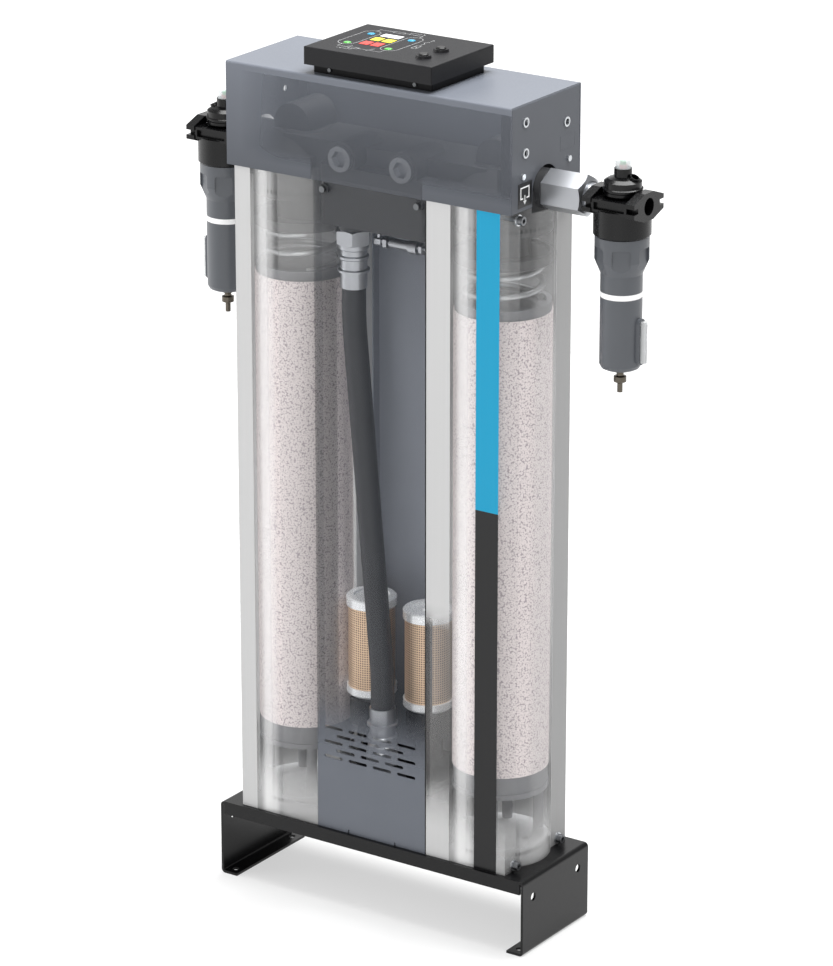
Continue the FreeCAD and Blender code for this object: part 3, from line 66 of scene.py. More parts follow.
def length_setting(name, description, millimetres):
    length = millimetres * MM
    return FloatProperty(
        name=name, description=description, subtype="DISTANCE", unit="LENGTH", default=length, precision=4
    )


def share_setting(name, description, share):
    return FloatProperty(name=name, description=description, subtype="FACTOR", min=0, max=1, default=share)


def angle_setting(name, description, degrees):
    return FloatProperty(name=name, description=description, subtype="ANGLE", default=math.radians(degrees))


class DryerPaints(bpy.types.PropertyGroup):
    """Colours of the painted sheet and the towers, and how much the see-through walls hide."""

    slate: colour_setting("Slate", "Powder coat of the housing and centre covers", "#63676F")
    # Painted shade: a darker copy of the slate for the end plates
    slate_ends_shaded: colour_setting("Slate ends", "Powder coat of the housing's end plates", "#51545A")
    # Painted light: a lighter tone on the rear cover's inner face, for the light in the bay
    slate_inside_painted_light: colour_setting("Slate inside", "Coat on the rear cover's inner face", "#7D8189")
    # Painted shadow: the dark line along the front cover's right edge stands for the shaded gap
    seam: colour_setting("Seam", "Dark gap between the front cover and the right tower", "#0C0C0E")
    jet: colour_setting("Jet", "Powder coat of the base frame", "#070708")
    tray: colour_setting("Tray", "Powder coat of the controller's tray", "#08080A")
    tower: colour_setting("Tower", "Powder coat of the tower profiles", "#BEBEBE")
    # The narrow outer flats are drawn darker than the rest of the tower
    flank: colour_setting("Flank", "Powder coat of the towers' narrow outer flats", "#969696")
    # Painted highlight: a paler tone and a thicker veil in a band down the left of a tower wall's clear part
    painted_highlight_tone: colour_setting("Gleam tone", "Tone of the gleam on a tower wall's clear part", "#E5E5E5")
    stripe_blue: colour_setting("Stripe blue", "Upper part of the stripe on the right tower", "#008FB6")
    stripe_grey: colour_setting("Stripe grey", "Lower part of the stripe on the right tower", "#1A1A1B")
    wall_cover: share_setting("Wall cover", "What one face of a tower wall hides before the chamber", 0.035)
    wall_solid: share_setting("Wall solid", "What one face of a tower wall hides beside the chamber", 0.95)
    wall_thin: share_setting("Wall thin", "What the right tower's inner corner hides low down", 0.08)
    gleam: share_setting("Gleam", "How much more a wall's clear part hides in its gleam", 0.16)
    # Painted sheen: the right tower's clear part is veiled more in its pale coat along its right
    side_painted_sheen: share_setting("Side haze", "How much more it hides along its right, right tower only", 0.14)
    top_haze: share_setting("Top haze", "How much more it hides above the bed", 0.08)
    foot_haze: share_setting("Foot haze", "How much more it hides towards the foot", 0.4)
    cover_cover: share_setting("Cover cover", "What one face of the front cover hides above its vents", 0.06)
    cover_foot: share_setting("Cover foot", "What one face of the front cover hides below its vents", 0.92)
    hood_cover: share_setting("Hood cover", "What one face of the hood's front hides", 0.38)
    facing: angle_setting("Facing", "How far right of the front a tower wall's clear part faces", 34.07)
    window_half: length_setting("Window half", "Half the width of the clear part of a tower wall", 58)
    stripe_left: length_setting("Stripe left edge", "X of the stripe's left edge", 140)
    stripe_right: length_setting("Stripe right edge", "X of the stripe's right edge", 170)
    stripe_change: length_setting("Stripe change", "Height where the stripe turns from grey to blue", 520)


class DryerMetals(bpy.types.PropertyGroup):
    """Colours of bare and plated metal."""

    zinc: colour_setting("Zinc", "Zinc plate on the screws and washers", "#C9CCCF")
    # Painted shade: a darker copy of the zinc on the towers' side bolts
    shaded_zinc: colour_setting("Dull zinc", "Duller zinc plate on the towers' side bolts", "#7E8083")
    # Painted shade: plated parts inside the closed housing turn this dark
    inside_shade: colour_setting("Oiled", "Oiled plate inside the housing", "#2E2F31")
    oxide: colour_setting("Oxide", "Black oxide on the small socket screws", "#6A6C6E")
    nickel: colour_setting("Nickel", "Nickel plate on the port adaptors and hose fittings", "#A9ABAF")
    cast: colour_setting("Cast", "Dark paint on the cast valve blocks", "#242527")
    blasted: colour_setting("Blasted", "Blasted alloy of the end pieces under the towers", "#C4C5C7")
    bronze: colour_setting("Bronze", "Woven wire of the silencers", "#E3C5A8")
    caps: colour_setting("Caps", "Plated steel caps of the silencers", "#E9EBED")
    spring: colour_setting("Spring", "Drawn spring wire", "#C4C6C8")
    drain: colour_setting("Drain", "Oxidised brass of the drains", "#5F5A52")


class DryerPlastics(bpy.types.PropertyGroup):
    """Colours and sizes of the enamelled, moulded, rubber and loose parts."""

    bead_light: colour_setting("Bead", "Desiccant bead", "#DAD1D0")
    bead_gap: colour_setting("Bead gap", "Shade between desiccant beads", "#A0969A")
    hose: colour_setting("Hose", "Rubber hose cover", "#1E1F22")
    seal: colour_setting("Seal", "Rubber of the tower seals", "#17181A")
    black: colour_setting("Black", "Glossy black of the filter heads and exhaust valves", "#060607")
    bowl: colour_setting("Bowl", "Grey of the filter bowls", "#4E5156")
    band: colour_setting("Band", "Plain printed band round a filter bowl", "#F2F2F2")
    glass: colour_setting("Glass", "Sight glasses", "#F3F5F6")
    clear: colour_setting("Clear", "Gauge caps", "#E9EEF0")
    ring: colour_setting("Ring", "Grey rings that carry and hold down the beds", "#6E6F72")
    green: colour_setting("Green", "Upper part of the gauge plunger", "#2E9B49")
    red: colour_setting("Red", "Lower part of the gauge plunger", "#C8322C")
    lid: colour_setting("Lid", "Controller lid", "#101013")
    keys: colour_setting("Keys", "Controller keys", "#0A0A0B")
    bead_size: length_setting("Bead size", "Diameter of one desiccant bead", 1.9)
    weave: length_setting("Weave", "Wire spacing of the silencer mesh", 2.8)
    band_height: length_setting("Band height", "Middle of the band above the bowl's lowest point", 85)
    band_half: length_setting("Band half", "Half the width of the band", 3)
    green_height: length_setting("Green height", "Height of the plunger's green part", 4)


class DryerPanel(bpy.types.PropertyGroup):
    """Sizes and colours of the controller's print and lamps, and of the labels."""

    lens: colour_setting("Lens white", "Hour display window", "#D8D8D6")
    yellow: colour_setting("Yellow", "Yellow display windows", "#E9D22B")
    red: colour_setting("Red", "Red display windows", "#CE352B")
    blue: colour_setting("Blue", "Blue lamps", "#1E86A8")
    green: colour_setting("Green", "Green lamps", "#4FA045")
    ink: colour_setting("Ink", "White ink of the flow diagram", "#A4A5A6")
    film: colour_setting("Film", "Black film of the outlet label", "#0A0A0B")
    label_ink: colour_setting("Label ink", "White ink of the outlet label", "#F1F1F1")
    mark: colour_setting("Mark", "Marking of the blank frame", "#4A4D53")
    lid_top: length_setting("Lid top", "Height of the lid's flat top", 1012)
    lamp_diameter: length_setting("Lamp diameter", "Diameter of a lamp's lens", 9)
    window_height: length_setting("Window height", "How far a display window stands off the lid", 0.3)
    line_width: length_setting("Line width", "Width of the printed lines", 0.5)
    ink_height: length_setting("Ink height", "How far the print stands off the lid", 0.12)


class DryerStage(bpy.types.PropertyGroup):
    """The floor, the even light and the camera."""

    floor: colour_setting("Floor", "Paper of the floor", "#A0A0A0")
    glow_near: share_setting("Glow near", "How much the paper glows under the unit", 0.52)
    glow_far: share_setting("Glow far", "How much the paper glows far from the unit", 0.92)
    glow_start: length_setting("Glow start", "Distance from the unit where the glow starts to grow", 900)
    glow_end: length_setting("Glow end", "Distance from the unit where the glow is full", 3500)
    sky: share_setting("Sky", "Strength of the even light from all round", 0.42)
    azimuth: angle_setting("Azimuth", "Camera angle to the right of the front", 34.07)
    elevation: angle_setting("Elevation", "Camera angle above the horizon", 19.37)
    distance: length_setting("Distance", "Camera distance from the middle of the floor", 5426)
    aim_right: length_setting("Aim right", "How far the camera stands to the right of its line", 16.1)
    aim_up: length_setting("Aim up", "How far the camera stands above its line", 476.5)
    lens: FloatProperty(name="Lens", description="Focal length in millimetres", default=174.1)


def settings(group):
    """One of this file's groups of settings, by its short name."""
    return getattr(bpy.context.scene, "dryer_" + group)


def add(tree, kind, inputs=None, **own):
    """Adds one shader node, sets its own settings and fills its inputs with values or links."""
    made = tree.nodes.new("ShaderNode" + kind)
    for name, value in own.items():
        setattr(made, name, value)
    for name, value in (inputs or {}).items():
        socket = made.inputs[name]
        if isinstance(value, bpy.types.NodeSocket):
            tree.links.new(value, socket)
        elif socket.type == "RGBA" and len(value) == 3:
            socket.default_value = (*value, 1)
        else:
            socket.default_value = value
    return made


def start_material(name, **inputs):
    """A new material with its shader's plain inputs set, its node tree, shader and object coordinates."""
    material = bpy.data.materials.new(name)
    material.use_nodes = True
    tree = material.node_tree
    shader = tree.nodes["Principled BSDF"]
    for key, value in inputs.items():
        shader.inputs[key.replace("_", " ").title().replace("Ior", "IOR")].default_value = value
    place = add(tree, "TexCoord").outputs["Object"]
    return material, tree, shader, place


def grain(tree, shader, place, base, ripple, height, shade, spread):
    """Fine relief and tone of a surface: ripples of this size and height in millimetres, a colour that
    varies by the share shade and a roughness that varies by spread."""
    waves = {"Scale": 1 / (ripple * MM), "Detail": 3.0, "Roughness": 0.6}
    fine = add(tree, "TexNoise", {"Vector": place, **waves})
    # A patch of even tone is about forty ripples wide
    patch = add(tree, "TexNoise", {"Vector": place, "Scale": 1 / (ripple * MM * 40), "Detail": 2.0})
    middle = {"From Min": 0.3, "From Max": 0.7}
    tones = {"Value": patch.outputs["Fac"], **middle, "To Min": 1 - shade, "To Max": 1 + shade}
    tone = add(tree, "MapRange", tones)
    tinted = add(tree, "VectorMath", {0: base, "Scale": tone.outputs["Result"]}, operation="SCALE")
    rough = shader.inputs["Roughness"].default_value
    roughs = {"Value": fine.outputs["Fac"], **middle, "To Min": rough - spread, "To Max": rough + spread}
    matt = add(tree, "MapRange", roughs)
    bump = add(tree, "Bump", {"Height": fine.outputs["Fac"], "Distance": height * MM, "Strength": 1.0})
    tree.links.new(tinted.outputs["Vector"], shader.inputs["Base Color"])
    tree.links.new(matt.outputs["Result"], shader.inputs["Roughness"])
    tree.links.new(bump.outputs["Normal"], shader.inputs["Normal"])


def plain_finish(name, base, ripple, height, shade, spread, **inputs):
    """A material of one colour with its grain."""
    material, tree, shader, place = start_material(name, **inputs)
    grain(tree, shader, place, base, ripple, height, shade, spread)
    return material


def powder_coated_steel(name, base, roughness=0.42, gloss=0.3):
    """Sheet steel under baked powder: an even satin colour with a faint orange peel about 1.5 mm across."""
    material, tree, shader, place = start_material(name, roughness=roughness, specular_ior_level=gloss)
    grain(tree, shader, place, base, ripple=1.5, height=0.004, shade=0.02, spread=0.03)
    return material, tree, shader, place


def finish(material, *names):
    """Gives CAD nodes a material through their material slots."""
    for name in names:
        for held in NODES[name].material_slots:
            held.material = material


def cast_no_shadow(*names):
    """Keeps pieces from darkening what the see-through drawing shows behind them."""
    for name in names:
        NODES[name].visible_shadow = False


def fade(tree, value, span):
    """A soft mask that rises from 0 to 1 as a length goes from the first end of a span to the second."""
    none, full = span
    ends = {"From Min": none, "From Max": full}
    if none > full:
        ends = {"From Min": full, "From Max": none, "To Min": 1.0, "To Max": 0.0}
    mask = add(tree, "MapRange", {"Value": value, **ends}, interpolation_type="SMOOTHSTEP")
    return mask.outputs["Result"]


def mesh_piece(name, bm, material):
    mesh = bpy.data.meshes.new(name)
    bm.to_mesh(mesh)
    bm.free()
    piece = bpy.data.objects.new(name, mesh)
    bpy.context.scene.collection.objects.link(piece)
    mesh.materials.append(material)
    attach(piece, "unit")


def raise_faces(bm, faces, lift):
    """Thickens flat faces into solid print or lens."""
    made = bmesh.ops.extrude_face_region(bm, geom=faces)
    moved = [item for item in made["geom"] if isinstance(item, bmesh.types.BMVert)]
    bmesh.ops.translate(bm, verts=moved, vec=lift)


def tile(bm, corners, lift):
    face = bm.faces.new([bm.verts.new(corner) for corner in corners])
    raise_faces(bm, [face], lift)


def ribbon(bm, points, width, level, lift, closed=False):
    """A printed line of even width through points on a level face."""
    line = [Vector((x, y)) for x, y in points]
    count = len(line)
    sides = []
    for index, point in enumerate(line):
        before = line[index - 1] if index or closed else point
        after = line[(index + 1) % count] if index < count - 1 or closed else point
        run_in = (point - before).normalized() if point != before else (after - point).normalized()
        run_out = (after - point).normalized() if after != point else run_in
        along = (run_in + run_out).normalized()
        across = Vector((-along.y, along.x)) * (width / 2 / max(0.5, along.dot(run_in)))
        pair = (point + across, point - across)
        sides.append([bm.verts.new((*side, level)) for side in pair])
    faces = []
    for index in range(count if closed else count - 1):
        first, second = sides[index], sides[(index + 1) % count]
        faces.append(bm.faces.new((first[0], first[1], second[1], second[0])))
    raise_faces(bm, faces, Vector((0, 0, lift)))


def obround(x0, x1, y0, y1, steps=10):
    """Points round an upright slot shape with half-round ends."""
    radius = (x1 - x0) / 2
    middle = (x0 + x1) / 2
    points = []
    for centre, begin in ((y1 - radius, 0), (y0 + radius, math.pi)):
        for step in range(steps + 1):
            angle = begin + math.pi * step / steps
            points.append((middle + radius * math.cos(angle), centre + radius * math.sin(angle)))
    return points


class DRYER_OT_base_frame(bpy.types.Operator):
    """Finishes the bent base frame in jet powder coat"""

    bl_idname = "dryer.base_frame"
    bl_label = "Base Frame"

    def execute(self, context):
        # Gloss powder coat on bent steel sheet: near black, with long soft highlights on the bends
        jet = powder_coated_steel("Jet Powder Coated Steel", settings("paints").jet, 0.3)[0]
        finish(jet, "base_frame")
        return {"FINISHED"}


# How far right of a tower's axis the painted highlight rises and falls and the painted sheen along the right
# sets in, as the clear part faces
HIGHLIGHT_RISE = (-54 * MM, -46 * MM)
HIGHLIGHT_FALL = (-29 * MM, -37 * MM)
SIDE_PAINTED_SHEEN = (28 * MM, 40 * MM)
# Heights where the haze above the bed sets in, and where the clear part closes towards the foot
TOP_HAZE = (735 * MM, 765 * MM)
FOOT_HAZE = (172 * MM, 100 * MM)
# The right tower's thin inner corner ends at this X and Y, and fades out at these heights
CORNER_X = 106 * MM
CORNER_Y = 30 * MM
CORNER_TOP = (400 * MM, 366 * MM)
CORNER_FOOT = (120 * MM, 190 * MM)
# The narrow outer flats lie past this X and this far from the middle in Y
FLAT_X = 181.8 * MM
FLAT_Y = 32.7 * MM
# How much of a tower's cut top end, which stands inside the hood, stays out of sight
TOWER_TOP = 1.5 * MM
# Depth of the stripe's film, to tell the front face from the walls behind it
STRIPE_DEPTH = 0.1 * MM


class DRYER_OT_towers(bpy.types.Operator):
    """Finishes the extruded tower profiles so that the beds show through them"""

    bl_idname = "dryer.towers"
    bl_label = "Tower Profiles"

    def execute(self, context):
        paints = settings("paints")
        for node in ("column_left", "column_right"):
            finish(self.profile(node, paints), node)
            cast_no_shadow(node)
        return {"FINISHED"}

    def profile(self, node, paints):
        """One tower's material"""
        # Powder coated aluminium extrusion, drawn see-through where it stands before the round chamber: pale
        # walls with a satin skin and faint draw lines, a painted highlight down the left of the clear part, a
        # painted sheen down its right on the right tower, and darker flats on the outer flank
        low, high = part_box(node)
        name = "Coated Aluminium " + node[7:].title()
        material, tree, shader, place = start_material(name, roughness=0.24, specular_ior_level=0.3)
        parts = add(tree, "SeparateXYZ", {"Vector": place})
        clear, aside = self.clear_strip(tree, place, (low.x + high.x) / 2, paints)
        rise, fall = fade(tree, aside, HIGHLIGHT_RISE), fade(tree, aside, HIGHLIGHT_FALL)
        gleam = add(tree, "Math", {0: rise, 1: fall}, operation="MULTIPLY").outputs[0]
        # What the clear part hides grows in its painted highlight, in the painted sheen along the right
        # tower's right side, and in the hazes above the bed and towards the foot
        thin = paints.wall_cover
        for share, mask in (
            (paints.gleam, gleam),
            (paints.side_painted_sheen if node == "column_right" else 0.0, fade(tree, aside, SIDE_PAINTED_SHEEN)),
            (paints.top_haze, fade(tree, parts.outputs["Z"], TOP_HAZE)),
            (paints.foot_haze, fade(tree, parts.outputs["Z"], FOOT_HAZE)),
        ):
            thin = add(tree, "Math", {0: mask, 1: share, 2: thin}, operation="MULTIPLY_ADD").outputs[0]
        hide = add(tree, "MapRange", {"Value": clear, "To Min": paints.wall_solid, "To Max": thin})
        hidden = hide.outputs["Result"]
        skin = self.coat(tree, parts, paints)
        # Painted highlight: the band on the clear part takes the paler tone
        lit = add(tree, "Math", {0: gleam, 1: clear}, operation="MULTIPLY").outputs[0]
        skin = add(tree, "Mix", {0: lit, 6: skin, 7: paints.painted_highlight_tone}, data_type="RGBA").outputs[2]
        if node == "column_right":
            stripe, inks = self.stripe(tree, parts, low.y, paints)
            skin = add(tree, "Mix", {0: stripe, 6: skin, 7: inks}, data_type="RGBA").outputs[2]
            hidden = add(tree, "Math", {0: hidden, 1: stripe}, operation="MAXIMUM").outputs[0]
            hidden = self.before_silencers(tree, parts, hidden, paints)
        self.draw_lines(tree, shader, place, skin)
        under = add(tree, "Math", {0: parts.outputs["Z"], 1: high.z - TOWER_TOP}, operation="LESS_THAN")
        hidden = add(tree, "Math", {0: hidden, 1: under.outputs[0]}, operation="MULTIPLY").outputs[0]
        tree.links.new(hidden, shader.inputs["Alpha"])
        return material

    def clear_strip(self, tree, place, axis, paints):
        """Where a tower is clear, and how far right of its axis a point lies, as the clear part faces"""
        turn = paints.facing
        rightward = (math.cos(turn), math.sin(turn), 0)
        inward = (-math.sin(turn), math.cos(turn), 0)
        reach = add(tree, "VectorMath", {0: place, 1: rightward}, operation="DOT_PRODUCT").outputs["Value"]
        aside = add(tree, "Math", {0: reach, 1: axis * math.cos(turn)}, operation="SUBTRACT").outputs[0]
        width = add(tree, "Math", {0: aside, 1: 0.0, 2: paints.window_half}, operation="COMPARE")
        depth = add(tree, "VectorMath", {0: place, 1: inward}, operation="DOT_PRODUCT").outputs["Value"]
        near = add(tree, "Math", {0: depth, 1: -axis * math.sin(turn)}, operation="LESS_THAN")
        clear = add(tree, "Math", {0: width.outputs[0], 1: near.outputs[0]}, operation="MULTIPLY")
        return clear.outputs[0], aside

    def coat(self, tree, parts, paints):
        """The coat's colour, darker on the narrow outer flats"""
        masks = []
        for axis, edge in (("X", FLAT_X), ("Y", FLAT_Y)):
            out = add(tree, "Math", {0: parts.outputs[axis]}, operation="ABSOLUTE")
            masks.append(add(tree, "Math", {0: out.outputs[0], 1: edge}, operation="GREATER_THAN").outputs[0])
        flat = add(tree, "Math", {0: masks[0], 1: masks[1]}, operation="MULTIPLY").outputs[0]
        return add(tree, "Mix", {0: flat, 6: paints.tower, 7: paints.flank}, data_type="RGBA").outputs[2]

    def before_silencers(self, tree, parts, hidden, paints):
        """Thins the inner corner of the right tower where the silencers stand behind it"""
        low, high = fade(tree, parts.outputs["Z"], CORNER_TOP), fade(tree, parts.outputs["Z"], CORNER_FOOT)
        inner = add(tree, "Math", {0: parts.outputs["X"], 1: CORNER_X}, operation="LESS_THAN")
        ahead = add(tree, "Math", {0: parts.outputs["Y"], 1: CORNER_Y}, operation="LESS_THAN")
        corner = low
        for mask in (high, inner.outputs[0], ahead.outputs[0]):
            corner = add(tree, "Math", {0: corner, 1: mask}, operation="MULTIPLY").outputs[0]
        least = add(tree, "Math", {0: hidden, 1: paints.wall_thin}, operation="MINIMUM")
        return add(tree, "Mix", {0: corner, 2: hidden, 3: least.outputs[0]}, data_type="FLOAT").outputs[0]

    def stripe(self, tree, parts, face, paints):
        """Where the printed stripe lies on the front face, and its two colours"""
        middle = (paints.stripe_left + paints.stripe_right) / 2
        half = (paints.stripe_right - paints.stripe_left) / 2
        across = add(tree, "Math", {0: parts.outputs["X"], 1: middle, 2: half}, operation="COMPARE")
        front = add(tree, "Math", {0: parts.outputs["Y"], 1: face + STRIPE_DEPTH}, operation="LESS_THAN")
        stripe = add(tree, "Math", {0: across.outputs[0], 1: front.outputs[0]}, operation="MULTIPLY")
        upper = add(tree, "Math", {0: parts.outputs["Z"], 1: paints.stripe_change}, operation="GREATER_THAN")
        colours = {0: upper.outputs[0], 6: paints.stripe_grey, 7: paints.stripe_blue}
        inks = add(tree, "Mix", colours, data_type="RGBA")
        return stripe.outputs[0], inks.outputs[2]

    def draw_lines(self, tree, shader, place, base):
        """Upright extrusion lines about 3 mm apart, too shallow to see except in a highlight"""
        flat = add(tree, "Mapping", {"Vector": place, "Scale": (1, 1, 0.01)})
        waves = {"Scale": 1 / (3 * MM), "Detail": 2.0}
        lines = add(tree, "TexNoise", {"Vector": flat.outputs["Vector"], **waves})
        tone = add(tree, "MapRange", {"Value": lines.outputs["Fac"], "To Min": 0.97, "To Max": 1.03})
        tinted = add(tree, "VectorMath", {0: base, "Scale": tone.outputs["Result"]}, operation="SCALE")
        bump = add(tree, "Bump", {"Height": lines.outputs["Fac"], "Distance": 0.03 * MM, "Strength": 0.6})
        tree.links.new(tinted.outputs["Vector"], shader.inputs["Base Color"])
        tree.links.new(bump.outputs["Normal"], shader.inputs["Normal"])


class DRYER_OT_beds(bpy.types.Operator):
    """Finishes the desiccant beds as packed beads"""

    bl_idname = "dryer.beds"
    bl_label = "Desiccant Beds"

    def execute(self, context):
        plastics = settings("plastics")
        # Packed activated alumina beads: chalky pinkish white balls with painted shade in the gaps between
        # them
        beads, tree, shader, place = start_material("Packed Alumina Beads", roughness=0.85)
        cells = add(tree, "TexVoronoi", {"Vector": place, "Scale": 1 / plastics.bead_size})
        away = cells.outputs["Distance"]
        gap = add(tree, "MapRange", {"Value": away, "From Min": 0.52, "From Max": 0.8}).outputs["Result"]
        hue = add(tree, "SeparateColor", {"Color": cells.outputs["Color"]}).outputs["Red"]
        tone = add(tree, "MapRange", {"Value": hue, "To Min": 0.95, "To Max": 1.03}).outputs["Result"]
        bead = add(tree, "VectorMath", {0: plastics.bead_light, "Scale": tone}, operation="SCALE")
        shades = {0: gap, 6: bead.outputs["Vector"], 7: plastics.bead_gap}
        skin = add(tree, "Mix", shades, data_type="RGBA")
        dome = add(tree, "Math", {0: 1.0, 1: away}, operation="SUBTRACT").outputs[0]
        bump = add(tree, "Bump", {"Height": dome, "Distance": plastics.bead_size / 2, "Strength": 0.08})
        tree.links.new(skin.outputs[2], shader.inputs["Base Color"])
        tree.links.new(bump.outputs["Normal"], shader.inputs["Normal"])
        finish(beads, "desiccant_left", "desiccant_right")
        cast_no_shadow("desiccant_left", "desiccant_right")
        return {"FINISHED"}


class DRYER_OT_bed_holders(bpy.types.Operator):
    """Finishes the rings, sieves, springs, end pieces and seals of the towers"""

    bl_idname = "dryer.bed_holders"
    bl_label = "Bed Supports And Springs"

    def execute(self, context):
        plastics, metals = settings("plastics"), settings("metals")
        # Moulded glass-filled nylon: mid grey with a dull, slightly cloudy skin
        nylon = plain_finish(
            "Moulded Grey Nylon", plastics.ring, ripple=1.2, height=0.02, shade=0.05, spread=0.06,
            roughness=0.5,
        )
        finish(nylon, "bed_support_left", "bed_support_right", "upper_sieve_left", "upper_sieve_right")
        # Machined alloy end pieces, blasted: pale grey with a fine tooth
        blasted = plain_finish(
            "Blasted Alloy", metals.blasted, ripple=0.8, height=0.03, shade=0.04, spread=0.06,
            roughness=0.5, metallic=0.6,
        )
        finish(blasted, "closure_left", "closure_right")
        # Drawn and coiled steel wire: pale and smooth, with a bright line along the wire
        wire = plain_finish(
            "Drawn Spring Steel", metals.spring, ripple=0.8, height=0.01, shade=0.05, spread=0.06,
            roughness=0.32, metallic=1.0,
        )
        finish(wire, "spring_left", "spring_right")
        # Moulded nitrile rubber: matt black
        rubber = plain_finish(
            "Moulded Nitrile Rubber", plastics.seal, ripple=1.0, height=0.02, shade=0.05, spread=0.05,
            roughness=0.6,
        )
        finish(rubber, "tower_seals")
        return {"FINISHED"}


class DRYER_OT_valve_blocks(bpy.types.Operator):
    """Finishes the cast valve blocks, their plugs and the purge line"""

    bl_idname = "dryer.valve_blocks"
    bl_label = "Valve Blocks"

    def execute(self, context):
        metals = settings("metals")
        # Sand cast aluminium, dipped in dark paint: dull, with a pebbled skin of about 2 mm
        cast = plain_finish(
            "Painted Sand Casting", metals.cast, ripple=2.0, height=0.04, shade=0.06, spread=0.08,
            roughness=0.5,
        )
        finish(cast, "upper_valve_block", "lower_valve_block")
        # Nickel plated brass plugs and line: bright with a soft brushed haze
        plated = plain_finish(
            "Plated Plug Brass", metals.nickel, ripple=1.0, height=0.002, shade=0.03, spread=0.05,
            roughness=0.3, metallic=1.0,
        )
        finish(plated, "valve_plugs", "purge_line")
        return {"FINISHED"}


# Depth that tells the inner face of a sheet from the outer one
SHEET_SKIN = 1 * MM
# Heights where the painted shade on the rear cover's inner face gives way to its painted lighter tone, and
# where the front cover clears
LINING_LIGHT_HEIGHTS = (220 * MM, 330 * MM)
COVER_CLEARS = (165 * MM, 262 * MM)
# Painted shade: tone of the rear cover's inner face at the foot, where little light gets into the bay
LINING_PAINTED_SHADE = 0.3
# Width of the painted shadow along the front cover's right edge, where the gap to the tower lies in shade
SEAM_SHADOW_WIDTH = 1.2 * MM


class DRYER_OT_covers(bpy.types.Operator):
    """Finishes the centre covers: the front one clear above its vents"""

    bl_idname = "dryer.covers"
    bl_label = "Centre Covers"

    def execute(self, context):
        self.rear(settings("paints"))
        self.front(settings("paints"))
        cast_no_shadow("front_cover")
        return {"FINISHED"}

    def rear(self, paints):
        """The rear cover's material"""
        # Powder coated steel sheet: slate with a satin skin; its inner face is painted lighter for the light
        # in the bay, with painted shade towards the foot
        rear, tree, shader, place = powder_coated_steel("Slate Powder Coated Cover", paints.slate)
        parts = add(tree, "SeparateXYZ", {"Vector": place})
        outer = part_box("rear_cover")[1].y
        inside = add(tree, "Math", {0: parts.outputs["Y"], 1: outer - SHEET_SKIN}, operation="LESS_THAN")
        coat = shader.inputs["Base Color"].links[0].from_socket
        dark, light = LINING_LIGHT_HEIGHTS
        heights = {"Value": parts.outputs["Z"], "From Min": dark, "From Max": light}
        depth = add(tree, "MapRange", {**heights, "To Min": LINING_PAINTED_SHADE, "To Max": 1.0}).outputs["Result"]
        painted_lining = add(tree, "VectorMath", {0: paints.slate_inside_painted_light, "Scale": depth}, operation="SCALE")
        colours = {0: inside.outputs[0], 6: coat, 7: painted_lining.outputs["Vector"]}
        tree.links.new(add(tree, "Mix", colours, data_type="RGBA").outputs[2], shader.inputs["Base Color"])
        finish(rear, "rear_cover")

    def front(self, paints):
        """The front cover's material"""
        # The same sheet, drawn see-through above the vents and closed at its foot
        front, tree, shader, place = powder_coated_steel("See Through Slate Cover", paints.slate, 0.25)
        parts = add(tree, "SeparateXYZ", {"Vector": place})
        closed, clear = COVER_CLEARS
        heights = {"Value": parts.outputs["Z"], "From Min": closed, "From Max": clear}
        hides = {"To Min": paints.cover_foot, "To Max": paints.cover_cover}
        hide = add(tree, "MapRange", {**heights, **hides}, interpolation_type="SMOOTHSTEP").outputs["Result"]
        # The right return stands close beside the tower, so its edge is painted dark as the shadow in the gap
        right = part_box("front_cover")[1].x
        edge = add(tree, "Math", {0: parts.outputs["X"], 1: right - SEAM_SHADOW_WIDTH}, operation="GREATER_THAN")
        hidden = add(tree, "Math", {0: hide, 1: edge.outputs[0]}, operation="MAXIMUM")
        coat = shader.inputs["Base Color"].links[0].from_socket
        colours = {0: edge.outputs[0], 6: coat, 7: paints.seam}
        tree.links.new(add(tree, "Mix", colours, data_type="RGBA").outputs[2], shader.inputs["Base Color"])
        tree.links.new(hidden.outputs[0], shader.inputs["Alpha"])
        finish(front, "front_cover")


# Depth of both faces of the hood's front sheet, and height of the bend above it, which stays closed
HOOD_FRONT = 1.6 * MM
HOOD_BEND = 8 * MM
# The front clears between these lengths from the hood's left end
HOOD_LEFT = (20 * MM, 75 * MM)
# Over the tower tops, past this X, it clears between these heights above its lower edge
TOPS_X = 74 * MM
TOPS_CLEAR = (10 * MM, 28 * MM)
# Painted shade: tone of the front at its lower and at its upper edge
HOOD_PAINTED_SHADE = (0.62, 1.1)


